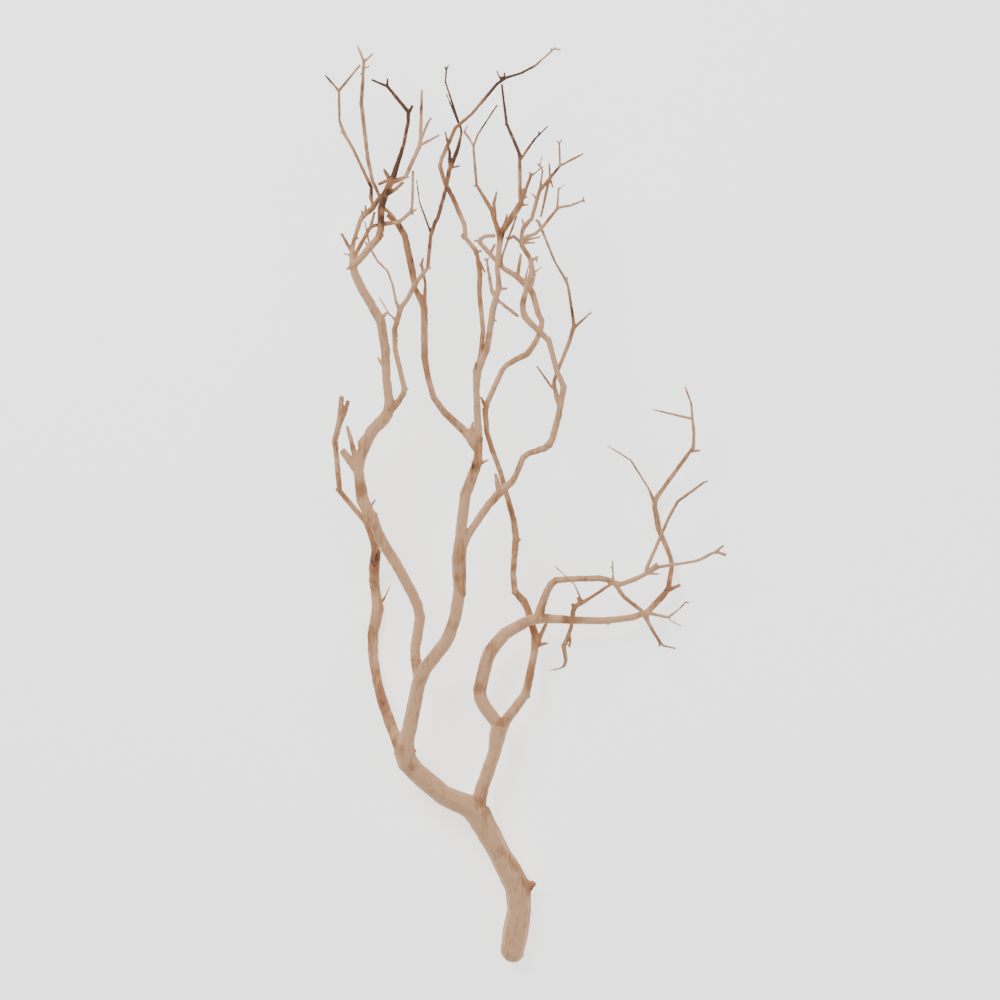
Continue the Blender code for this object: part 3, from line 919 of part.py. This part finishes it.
def build_limb(limb):
    """The limb's own tube and its twigs as one body, and the collar that its parent carries."""
    points = points_needed(limb.collar[-1:] + limb.route)
    rings, directions = rings_along(limb.collar[:-1] + points)
    start = max(len(limb.collar) - 1, 0)
    own = [list(ring) for ring in rings[start:]]
    if limb.collar:
        own[0] = [corner + directions[start] * FORK_GAP for corner in own[0]]
    obj = tube(limb.name, own)
    for number, twig in enumerate(limb.twigs):
        join(obj, tube(f"{limb.name}_twig_{number}", rings_along(points_needed(twig))[0]))
    collar = tube(f"{limb.name}_collar", rings[: start + 1]) if limb.collar else None
    return obj, collar


def corners_of(obj):
    flat = np.empty(len(obj.data.vertices) * 3, np.float32)
    obj.data.vertices.foreach_get("co", flat)
    return flat.reshape(-1, 3)


def stand_on_origin(objects):
    """Move every limb so that the origin is under the middle of the whole branch."""
    corners = np.concatenate([corners_of(obj) for obj in objects])
    low, high = corners.min(axis=0), corners.max(axis=0)
    shift = Vector((-(low[0] + high[0]) / 2, -(low[1] + high[1]) / 2, -low[2]))
    for obj in objects:
        for vertex in obj.data.vertices:
            vertex.co += shift


def main():
    for obj in list(bpy.data.objects):
        bpy.data.objects.remove(obj, do_unlink=True)
    built = {}
    for limb in LIMBS:
        obj, collar = build_limb(limb)
        built[limb.name] = obj
        if collar:
            join(built[limb.parent], collar)
    for limb in LIMBS:
        obj = built[limb.name]
        obj.data.materials.clear()
        obj.data.materials.append(wood(limb.name, limb.colour))
        obj.data.shade_smooth()
    stand_on_origin(list(built.values()))


main()
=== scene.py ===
import json

import bpy
import numpy as np
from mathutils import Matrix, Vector
from mathutils.kdtree import KDTree


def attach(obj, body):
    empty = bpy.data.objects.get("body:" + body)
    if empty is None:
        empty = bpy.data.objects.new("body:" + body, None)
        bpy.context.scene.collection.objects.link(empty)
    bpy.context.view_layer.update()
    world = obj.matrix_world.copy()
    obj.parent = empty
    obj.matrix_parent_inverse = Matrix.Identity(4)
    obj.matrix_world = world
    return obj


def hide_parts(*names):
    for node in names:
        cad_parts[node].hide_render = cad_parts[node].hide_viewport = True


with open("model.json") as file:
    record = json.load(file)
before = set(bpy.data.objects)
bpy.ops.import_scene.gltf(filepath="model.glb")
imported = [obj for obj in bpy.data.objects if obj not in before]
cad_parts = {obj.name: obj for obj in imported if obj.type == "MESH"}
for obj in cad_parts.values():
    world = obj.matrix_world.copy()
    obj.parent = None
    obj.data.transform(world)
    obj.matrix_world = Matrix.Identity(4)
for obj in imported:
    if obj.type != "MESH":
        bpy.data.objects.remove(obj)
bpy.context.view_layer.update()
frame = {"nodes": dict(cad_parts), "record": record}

bl_info = {
    "name": "Dried manzanita branch",
    "version": (1, 0, 0),
    "blender": (4, 5, 0),
    "location": "View3D > Sidebar > Branch",
    "description": "Rounds, roughens and colours the limbs of a dried manzanita branch",
    "category": "Object",
}

MM = 0.001
EYE_HEIGHT = 6.0  # m above the surface, where the branch is seen from
VIEW_WIDTH = 1.0  # m of surface across the picture
SENSOR_WIDTH = 36.0  # mm
# The middle of the picture on the surface, in the frame of the branch.
VIEW_MIDDLE = Vector((-0.0259, 0.0065, 0.0))
PICTURE_MIDDLE = 500.0  # px
FORK_REACH = 0.36 * MM  # a corner across the gap of a fork is nearer than this
FORK_DEPTH = 2.5 * MM  # how far a limb is run into the limb that it grows from
MERGE_DISTANCE = 0.01 * MM
TONE_NEIGHBOURS = 6
NOISE_DEPTH = 3
SMOOTH_SHARE = 0.5  # how far each round of smoothing moves a corner

# The wood's pattern: sizes of the marks, how strongly they tell, and the levels of stain and
# painted shade where colours turn.
PATCH_SIZE = 22 * MM
STREAK_SIZE = 2.2 * MM
SPECK_SIZE = 1.1 * MM
PATCH_CONTRAST = 1.7
STREAK_CONTRAST = 1.0
TURNS_TAN = (0.05, 0.6)
TURNS_TO_BARK = (0.62, 1.05)
SPECK_FROM = (0.62, 0.74)
BARK_SHARE = 0.9
SPECK_SHARE = 0.45
ROUGHNESS_RANGE = (0.72, 0.2)  # the least, and what the streaks add
GRAIN_STREAKS = 0.8
GRAIN_SPECKS = 0.2

# The stage, in m.
FLOOR_WIDTH = 8.0
FLOOR_ROUGHNESS = 0.9
KEY_PLACE = (-1.2, 1.6, 2.4)
KEY_SIZE = 1.6
FILL_PLACE = (1.6, -0.8, 2.2)
FILL_SIZE = 2.4
FILL_SHARE = 0.4  # of the key light's power
SKY_STRENGTH = 0.36
SIGHT_END = 50.0  # how far the camera sees

# Sockets of the Mix node in its colour mode, whose names are not unique.
MIX_FIRST = 6
MIX_SECOND = 7
MIX_RESULT = 2
# Darkness of each slot: the dark slot is partly weathered wood and partly painted shade on limbs
# that lie behind others.
TONE_AND_SHADE_OF_SLOT = {"pale_wood": 0.12, "tan_wood": 0.42, "dark_wood": 0.85}

# Knots, stained places and painted shade: x and y as seen in the picture (px), height and reach
# (mm), strength.
STAINS_AND_SHADE = (
    (533, 888, 22, 9, 0.6),  # cut top of the butt's knob
    (512, 958, 12, 8, 0.35),  # cut end of the butt
    (361, 489, 80, 8, 0.8),  # hollow in the arch
    (353, 446, 77, 5, 0.5),
    (489, 643, 47, 8, 0.5),  # ring arm
    (482, 688, 42, 8, 0.5),
    (545, 612, 48, 6, 0.6),
    # partly dark knot tissue, partly painted shadow of a twig behind it
    (566, 617, 46, 6, 0.6),
    (459, 578, 92, 6, 0.8),  # centre stem knots
    (460, 589, 91, 6, 0.7),
    (464, 594, 88, 4, 0.6),
    (474, 466, 100, 5, 0.8),
    (481, 440, 99, 4, 0.6),
    (475, 366, 104, 5, 0.7),
    (524, 301, 108, 4, 0.6),
    (516, 597, 40, 5, 0.6),
    (512, 566, 48, 4, 0.6),
    (512, 582, 44, 4, 0.6),
    (412, 271, 105, 5, 0.6),  # spotted stem
    (412, 260, 107, 5, 0.6),
    (401, 226, 113, 5, 0.6),
    (381, 220, 124, 5, 0.7),  # left crown limb
    (384, 203, 124, 5, 0.7),
    (388, 193, 124, 5, 0.7),
    (396, 172, 121, 7, 0.9),  # dark left tip
    (400, 158, 118, 8, 0.9),
    (404, 107, 104, 12, 0.5),
    (378, 82, 97, 9, 0.7),
    (371, 189, 108, 7, 1.0),  # foot of the leaning twig
    (328, 79, 93, 7, 0.8),
    (455, 158, 99, 7, 0.6),  # inner stem's top
    (457, 118, 96, 12, 0.8),
    (446, 78, 91, 9, 0.7),
    (504, 79, 99, 12, 1.0),  # end of the long curved twig
    (524, 72, 97, 14, 0.9),
    (502, 96, 100, 14, 0.9),
    (497, 105, 107, 12, 1.0),  # crown twig tips
    (488, 118, 108, 8, 0.8),
    (539, 133, 110, 10, 0.9),
    (556, 172, 115, 6, 0.7),
    (501, 235, 118, 6, 0.6),  # hub of the centre crown
    (527, 254, 113, 6, 0.5),
    (352, 266, 112, 5, 0.6),  # hub of the left crown
    (400, 745, 50, 8, 0.8),  # crotch of the rear limb
    (478, 803, 34, 6, 0.35),
    (500, 722, 40, 5, 0.4),
    # painted shade: the rear limb, lying low behind the others, darkened over broad patches
    (384, 700, 22, 12, 0.35),
    (375, 560, 30, 14, 0.4),
)

# Every limb, parents before children: the order decides which side of a fork is run in.
BUTT = ("trunk", "main_bough", "right_limb", "rear_limb")
ARCH = ("arch_limb", "left_stem", "inner_stem", "outer_left_twig")
CENTRE = ("centre_stem_lower", "centre_stem_upper", "right_arm")
RING = (
    "ring_arm", "under_stem", "right_lower_limb", "right_upper_limb",
    "crossing_twig", "hanging_twig",
)
REACH = ("far_right_limb", "right_tip_twig")
LEFT_CROWN = (
    "left_crown_limb", "left_crown_dark_tip", "left_crown_pale_tip", "hub_twig_long",
    "hub_twig_right", "leaning_twig", "tall_twig",
)
WINDING = ("spotted_stem", "looping_stem")
INNER_CROWN = ("inner_stem_top", "long_curved_twig")
RIGHT_CROWN = (
    "crown_left_twig", "crown_middle_twig", "drop_twig", "right_arm_side_twig",
    "right_crown_twig", "right_crown_side_twig",
)
LIMB_ORDER = BUTT + ARCH + CENTRE + RING + REACH + LEFT_CROWN + WINDING + INNER_CROWN + RIGHT_CROWN


def place_in_picture(x, y, height):
    """A place seen at picture pixel x, y, at a height in mm, in the frame of the branch."""
    drawn_in = (EYE_HEIGHT - height * MM) / EYE_HEIGHT
    offset = Vector(((x - PICTURE_MIDDLE) * MM, (PICTURE_MIDDLE - y) * MM, 0.0)) * drawn_in
    return VIEW_MIDDLE + offset + Vector((0.0, 0.0, height * MM))


def corners_of(mesh):
    flat = np.empty(len(mesh.vertices) * 3, np.float32)
    mesh.vertices.foreach_get("co", flat)
    return flat.reshape(-1, 3)


def corner_tree():
    """A search tree over the corners of all limbs, and the limb of each corner."""
    owners = []
    places = []
    for order, name in enumerate(LIMB_ORDER):
        for place in np.unique(corners_of(frame["nodes"][name].data), axis=0):
            owners.append(order)
            places.append(place)
    tree = KDTree(len(places))
    for number, place in enumerate(places):
        tree.insert(place, number)
    tree.balance()
    return tree, owners


CORNERS, OWNERS = corner_tree()
SLOT_OF_NODE = {part["node"]: part["material_slot"] for part in frame["record"]["subparts"]}
TONES_AND_SHADE = [TONE_AND_SHADE_OF_SLOT[SLOT_OF_NODE[name]] for name in LIMB_ORDER]


class Wire:
    """A shader socket that takes part in Python maths."""

    def __init__(self, shader, socket):
        self.shader = shader
        self.socket = socket

    def maths(self, operation, first, second):
        return self.shader.node("ShaderNodeMath", {"operation": operation}, {0: first, 1: second})

    def __add__(self, other):
        return self.maths("ADD", self, other)

    __radd__ = __add__

    def __mul__(self, other):
        return self.maths("MULTIPLY", self, other)

    __rmul__ = __mul__

    def __sub__(self, other):
        return self.maths("SUBTRACT", self, other)

    def __rsub__(self, other):
        return self.maths("SUBTRACT", other, self)


class Shader:
    """A material and its nodes, with a short method for each pattern that the wood uses."""

    def __init__(self, name):
        self.material = bpy.data.materials.new(name)
        self.material.use_nodes = True
        self.tree = self.material.node_tree
        self.surface = self.tree.nodes["Principled BSDF"]

    def feed(self, node, sockets):
        """Give a node's sockets their values or links."""
        for key, value in sockets.items():
            if isinstance(value, Wire):
                self.tree.links.new(value.socket, node.inputs[key])
            else:
                node.inputs[key].default_value = value

    def node(self, kind, settings, sockets, output=0):
        """The output of a new node, whose settings are made before its sockets are fed."""
        node = self.tree.nodes.new(kind)
        for key, value in settings.items():
            setattr(node, key, value)
        self.feed(node, sockets)
        return Wire(self, node.outputs[output])

    def noise(self, size, detail, stretch):
        """Noise whose patches are about size metres across, stretched along Y."""
        places = self.node("ShaderNodeTexCoord", {}, {}, "Object")
        scale = (1.0, 1.0 / stretch, 1.0)
        places = self.node("ShaderNodeMapping", {}, {"Scale": scale, "Vector": places}, "Vector")
        sockets = {"Scale": 1.0 / size, "Detail": detail, "Vector": places}
        return self.node("ShaderNodeTexNoise", {}, sockets, "Fac")

    def attribute(self, name):
        return self.node("ShaderNodeAttribute", {"attribute_name": name}, {}, "Fac")

    def over(self, value, low, high):
        """0 below low, 1 above high, with a smooth step between."""
        sockets = {"Value": value, "From Min": low, "From Max": high}
        return self.node("ShaderNodeMapRange", {"interpolation_type": "SMOOTHSTEP"}, sockets)

    def mix(self, share, first, second):
        """The first colour, turned into the second where share is 1."""
        colours = [value if isinstance(value, Wire) else (*value, 1.0) for value in (first, second)]
        sockets = {"Factor": share, MIX_FIRST: colours[0], MIX_SECOND: colours[1]}
        return self.node("ShaderNodeMix", {"data_type": "RGBA"}, sockets, MIX_RESULT)

    def finish(self, colour, roughness, height, depth):
        normal = self.node("ShaderNodeBump", {}, {"Distance": depth, "Height": height}, "Normal")
        self.feed(self.surface, {"Base Color": colour, "Roughness": roughness, "Normal": normal})
        return self.material


def colour_property(name, default, description):
    return bpy.props.FloatVectorProperty(
        name=name, description=description, default=default,
        subtype="COLOR", size=3, min=0.0, max=1.0,
    )


def length_property(name, default, description):
    return bpy.props.FloatProperty(
        name=name, description=description, default=default, min=0.0, unit="LENGTH", precision=5
    )


class BranchWoodSettings(bpy.types.PropertyGroup):
    """Colours and grain of the dry wood."""

    blasted: colour_property("Blasted wood", (0.62, 0.36, 0.20), "Clean sandblasted wood")
    weathered: colour_property("Weathered wood", (0.36, 0.165, 0.07), "Wood with some bark left")
    bark: colour_property("Bark", (0.06, 0.022, 0.009), "Dark bark left in knots and on tips")
    grain_depth: length_property("Grain depth", 0.0005, "Height of the fine grain")


class BranchStageSettings(bpy.types.PropertyGroup):
    """The surface that the branch lies on, and its light."""

    floor: colour_property("Floor", (0.92, 0.92, 0.92), "The pale surface under the branch")
    floor_glow: bpy.props.FloatProperty(
        name="Floor glow", description="How strongly the floor is lit up", default=1.6, min=0.0
    )
    key_watts: bpy.props.FloatProperty(
        name="Key light", description="Power of the main soft light",
        default=85.0, min=0.0, subtype="POWER",
    )


def wood_material():
    """Pale wood that turns to tan and then to bark with the darkness stored in the mesh, which
    holds stains and painted shade.
    """
    name = "sandblasted_manzanita"
    if name in bpy.data.materials:
        return bpy.data.materials[name]
    wood = bpy.context.scene.branch_wood
    shader = Shader(name)
    tone_and_shade = shader.attribute("tone_and_shade")
    patches = shader.noise(PATCH_SIZE, detail=3.0, stretch=1.6)
    streaks = shader.noise(STREAK_SIZE, detail=4.0, stretch=7.0)
    specks = shader.noise(SPECK_SIZE, detail=2.0, stretch=1.0)
    # Stored darkness, partly painted shade, plus random mottling; high values turn to tan and then
    # to bark.
    stain_and_shade = tone_and_shade + (patches - 0.5) * PATCH_CONTRAST + (streaks - 0.5) * STREAK_CONTRAST
    bark = shader.over(stain_and_shade, *TURNS_TO_BARK) * BARK_SHARE
    speckled = shader.over(specks, *SPECK_FROM) * SPECK_SHARE
    colour = shader.mix(shader.over(stain_and_shade, *TURNS_TAN), wood.blasted, wood.weathered)
    colour = shader.mix(bark, colour, wood.bark)
    colour = shader.mix(speckled, colour, wood.weathered)
    least, added = ROUGHNESS_RANGE
    grain = streaks * GRAIN_STREAKS + specks * GRAIN_SPECKS
    return shader.finish(colour, least + streaks * added, grain, wood.grain_depth)


def close_forks(mesh, order):
    """Run the corners at a limb's fork into the limb that it grows from."""
    places = corners_of(mesh)
    for number, place in enumerate(places):
        for other, index, distance in CORNERS.find_range(place, FORK_REACH):
            if OWNERS[index] < order and distance > 0.0:
                toward = (other - Vector(place)).normalized()
                places[number] = Vector(place) + toward * FORK_DEPTH
                break
    mesh.vertices.foreach_set("co", places.ravel())


def copy_limb(name):
    source = frame["nodes"][name]
    copy = bpy.data.objects.new(name + "_skin", source.data.copy())
    bpy.context.scene.collection.objects.link(copy)
    close_forks(copy.data, LIMB_ORDER.index(name))
    return copy


def join_limbs(names, piece_name):
    """One object of closed copies of the limbs, with their corners merged."""
    copies = [copy_limb(name) for name in names]
    bpy.ops.object.select_all(action="DESELECT")
    for copy in copies:
        copy.select_set(True)
    bpy.context.view_layer.objects.active = copies[0]
    bpy.ops.object.join()
    piece = copies[0]
    piece.name = piece_name
    piece.data.name = piece_name
    piece.data.materials.clear()
    bpy.ops.object.mode_set(mode="EDIT")
    bpy.ops.mesh.select_all(action="SELECT")
    bpy.ops.mesh.remove_doubles(threshold=MERGE_DISTANCE)
    bpy.ops.object.mode_set(mode="OBJECT")
    return piece


def apply_modifier(piece, kind, **settings):
    modifier = piece.modifiers.new(kind.title(), kind)
    for key, value in settings.items():
        setattr(modifier, key, value)
    bpy.ops.object.modifier_apply(modifier=modifier.name)


def roughen(piece, name, size, strength):
    """Push the surface in and out by soft noise of that size."""
    texture = bpy.data.textures.new(name, "CLOUDS")
    texture.noise_scale = size
    texture.noise_depth = NOISE_DEPTH
    apply_modifier(
        piece, "DISPLACE", texture=texture, texture_coords="LOCAL", strength=strength, mid_level=0.5
    )


def store_tone_and_shade(piece):
    """Keep how dark the wood is at each corner, from the limbs nearby, the stains and the painted
    shade.
    """
    places = corners_of(piece.data)
    tones_and_shade = np.empty(len(places), np.float32)
    for number, place in enumerate(places):
        found = CORNERS.find_n(place, TONE_NEIGHBOURS)
        tones_and_shade[number] = sum(TONES_AND_SHADE[OWNERS[index]] for _, index, _ in found) / len(found)
    for x, y, height, reach, strength in STAINS_AND_SHADE:
        middle = np.array(place_in_picture(x, y, height), np.float32)
        distance = np.linalg.norm(places - middle, axis=1)
        tones_and_shade += strength * np.exp(-((distance / (reach * MM)) ** 2))
    attribute = piece.data.attributes.new("tone_and_shade", "FLOAT", "POINT")
    attribute.data.foreach_set("value", tones_and_shade)


class LimbOperator:
    """What every limb operator does: round its limbs off, roughen them and colour them."""

    bl_options = {"REGISTER", "UNDO"}
    piece_name = ""
    nodes = ()
    voxel = 0.0006
    smoothing = 6
    swelling = 0.00008
    roughness_size = 0.006
    roughness_strength = 0.0008
    slot = "pale_wood"

    def execute(self, context):
        piece = join_limbs(self.nodes, self.piece_name)
        apply_modifier(piece, "REMESH", mode="VOXEL", voxel_size=self.voxel, use_smooth_shade=True)
        apply_modifier(piece, "SMOOTH", factor=SMOOTH_SHARE, iterations=self.smoothing)
        apply_modifier(piece, "DISPLACE", strength=self.swelling, mid_level=0.0)
        roughen(piece, self.piece_name, self.roughness_size, self.roughness_strength)
        bpy.ops.object.shade_smooth()
        if not piece.data.polygons:
            raise RuntimeError(self.piece_name + " came out empty")
        store_tone_and_shade(piece)
        piece.data.materials.append(wood_material())
        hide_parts(*self.nodes)
        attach(piece, "root")
        return {"FINISHED"}


class BRANCH_OT_butt(LimbOperator, bpy.types.Operator):
    """Round and roughen the butt, the main bough and the limbs at its foot"""

    bl_idname = "branch.butt"
    bl_label = "Butt and bough"
    piece_name = "butt_wood"
    nodes = BUTT
    voxel = 0.0008
    smoothing = 10
    roughness_size = 0.012
    roughness_strength = 0.0018


class BRANCH_OT_arch(LimbOperator, bpy.types.Operator):
    """Round and roughen the arch and the left-hand stems"""

    bl_idname = "branch.arch"
    bl_label = "Arch and left stems"
    piece_name = "arch_wood"
    nodes = ARCH
    voxel = 0.00065
    smoothing = 8
    roughness_strength = 0.0012


class BRANCH_OT_centre(LimbOperator, bpy.types.Operator):
    """Round and roughen the centre stem and the right arm"""

    bl_idname = "branch.centre"
    bl_label = "Centre stem and right arm"
    piece_name = "centre_wood"
    nodes = CENTRE
    voxel = 0.00065
    smoothing = 8
    roughness_strength = 0.0012


class BRANCH_OT_ring(LimbOperator, bpy.types.Operator):
    """Round and roughen the ring of limbs on the right"""

    bl_idname = "branch.ring"
    bl_label = "Ring of limbs"
    piece_name = "ring_wood"
    nodes = RING
    voxel = 0.00065
    roughness_strength = 0.001


class BRANCH_OT_reach(LimbOperator, bpy.types.Operator):
    """Round and roughen the limbs that reach furthest right"""

    bl_idname = "branch.reach"
    bl_label = "Far right limbs"
    piece_name = "reach_wood"
    nodes = REACH
    voxel = 0.00042
    smoothing = 3
    slot = "tan_wood"


class BRANCH_OT_left_crown(LimbOperator, bpy.types.Operator):
    """Round and roughen the left crown and its fine twigs"""

    bl_idname = "branch.left_crown"
    bl_label = "Left crown"
    piece_name = "left_crown_wood"
    nodes = LEFT_CROWN
    voxel = 0.00042
    smoothing = 3
    slot = "tan_wood"


class BRANCH_OT_winding(LimbOperator, bpy.types.Operator):
    """Round and roughen the spotted and the looping stem"""

    bl_idname = "branch.winding"
    bl_label = "Winding stems"
    piece_name = "winding_wood"
    nodes = WINDING
    voxel = 0.0005
    smoothing = 4
    slot = "tan_wood"


class BRANCH_OT_inner_crown(LimbOperator, bpy.types.Operator):
    """Round and roughen the long inner twigs"""

    bl_idname = "branch.inner_crown"
    bl_label = "Inner crown"
    piece_name = "inner_crown_wood"
    nodes = INNER_CROWN
    voxel = 0.00042
    smoothing = 3
    slot = "tan_wood"


class BRANCH_OT_right_crown(LimbOperator, bpy.types.Operator):
    """Round and roughen the right crown and its fine twigs"""

    bl_idname = "branch.right_crown"
    bl_label = "Right crown"
    piece_name = "right_crown_wood"
    nodes = RIGHT_CROWN
    voxel = 0.00042
    smoothing = 3
    slot = "tan_wood"


def add_soft_light(name, place, size, watts):
    light = bpy.data.lights.new(name, "AREA")
    light.size = size
    light.energy = watts
    lamp = bpy.data.objects.new(name, light)
    lamp.location = place
    lamp.rotation_euler = (-Vector(place)).to_track_quat("-Z", "Y").to_euler()
    bpy.context.scene.collection.objects.link(lamp)


class BRANCH_OT_stage(bpy.types.Operator):
    """Add the pale floor, the soft light and the camera that looks straight down"""

    bl_idname = "branch.stage"
    bl_label = "Stage"
    bl_options = {"REGISTER", "UNDO"}

    def execute(self, context):
        settings = context.scene.branch_stage
        bpy.ops.object.select_all(action="DESELECT")
        bpy.ops.mesh.primitive_plane_add(size=FLOOR_WIDTH)
        floor = context.object
        floor.name = "floor"
        shader = Shader("pale_floor")
        colour = (*settings.floor, 1.0)
        shader.feed(shader.surface, {"Base Color": colour, "Roughness": FLOOR_ROUGHNESS})
        shader.feed(
            shader.surface, {"Emission Color": colour, "Emission Strength": settings.floor_glow}
        )
        floor.data.materials.append(shader.material)
        add_soft_light("key", KEY_PLACE, KEY_SIZE, settings.key_watts)
        add_soft_light("fill", FILL_PLACE, FILL_SIZE, settings.key_watts * FILL_SHARE)
        world = bpy.data.worlds.new("studio")
        world.use_nodes = True
        background = world.node_tree.nodes["Background"]
        background.inputs["Color"].default_value = (1.0, 1.0, 1.0, 1.0)
        background.inputs["Strength"].default_value = SKY_STRENGTH
        context.scene.world = world
        camera = bpy.data.cameras.new("camera")
        camera.sensor_width = SENSOR_WIDTH
        camera.lens = SENSOR_WIDTH * EYE_HEIGHT / VIEW_WIDTH
        camera.clip_end = SIGHT_END
        eye = bpy.data.objects.new("camera", camera)
        eye.location = VIEW_MIDDLE + Vector((0.0, 0.0, EYE_HEIGHT))
        context.scene.collection.objects.link(eye)
        context.scene.camera = eye
        return {"FINISHED"}


LIMB_OPERATORS = (
    BRANCH_OT_butt,
    BRANCH_OT_arch,
    BRANCH_OT_centre,
    BRANCH_OT_ring,
    BRANCH_OT_reach,
    BRANCH_OT_left_crown,
    BRANCH_OT_winding,
    BRANCH_OT_inner_crown,
    BRANCH_OT_right_crown,
)


class BRANCH_PT_panel(bpy.types.Panel):
    """Lists the steps that dress the branch"""

    bl_idname = "BRANCH_PT_panel"
    bl_label = "Manzanita branch"
    bl_space_type = "VIEW_3D"
    bl_region_type = "UI"
    bl_category = "Branch"

    def draw(self, context):
        for operator in LIMB_OPERATORS + (BRANCH_OT_stage,):
            self.layout.operator(operator.bl_idname)
        for name in ("blasted", "weathered", "bark", "grain_depth"):
            self.layout.prop(context.scene.branch_wood, name)
        for name in ("floor", "floor_glow", "key_watts"):
            self.layout.prop(context.scene.branch_stage, name)


CLASSES = (
    (BranchWoodSettings, BranchStageSettings) + LIMB_OPERATORS + (BRANCH_OT_stage, BRANCH_PT_panel)
)


def register():
    for cls in CLASSES:
        bpy.utils.register_class(cls)
    bpy.types.Scene.branch_wood = bpy.props.PointerProperty(type=BranchWoodSettings)
    bpy.types.Scene.branch_stage = bpy.props.PointerProperty(type=BranchStageSettings)


def unregister():
    del bpy.types.Scene.branch_stage
    del bpy.types.Scene.branch_wood
    for cls in reversed(CLASSES):
        bpy.utils.unregister_class(cls)


def main():
    register()
    bpy.ops.branch.butt()
    bpy.ops.branch.arch()
    bpy.ops.branch.centre()
    bpy.ops.branch.ring()
    bpy.ops.branch.reach()
    bpy.ops.branch.left_crown()
    bpy.ops.branch.winding()
    bpy.ops.branch.inner_crown()
    bpy.ops.branch.right_crown()
    bpy.ops.branch.stage()


if __name__ == "__main__":
    main()
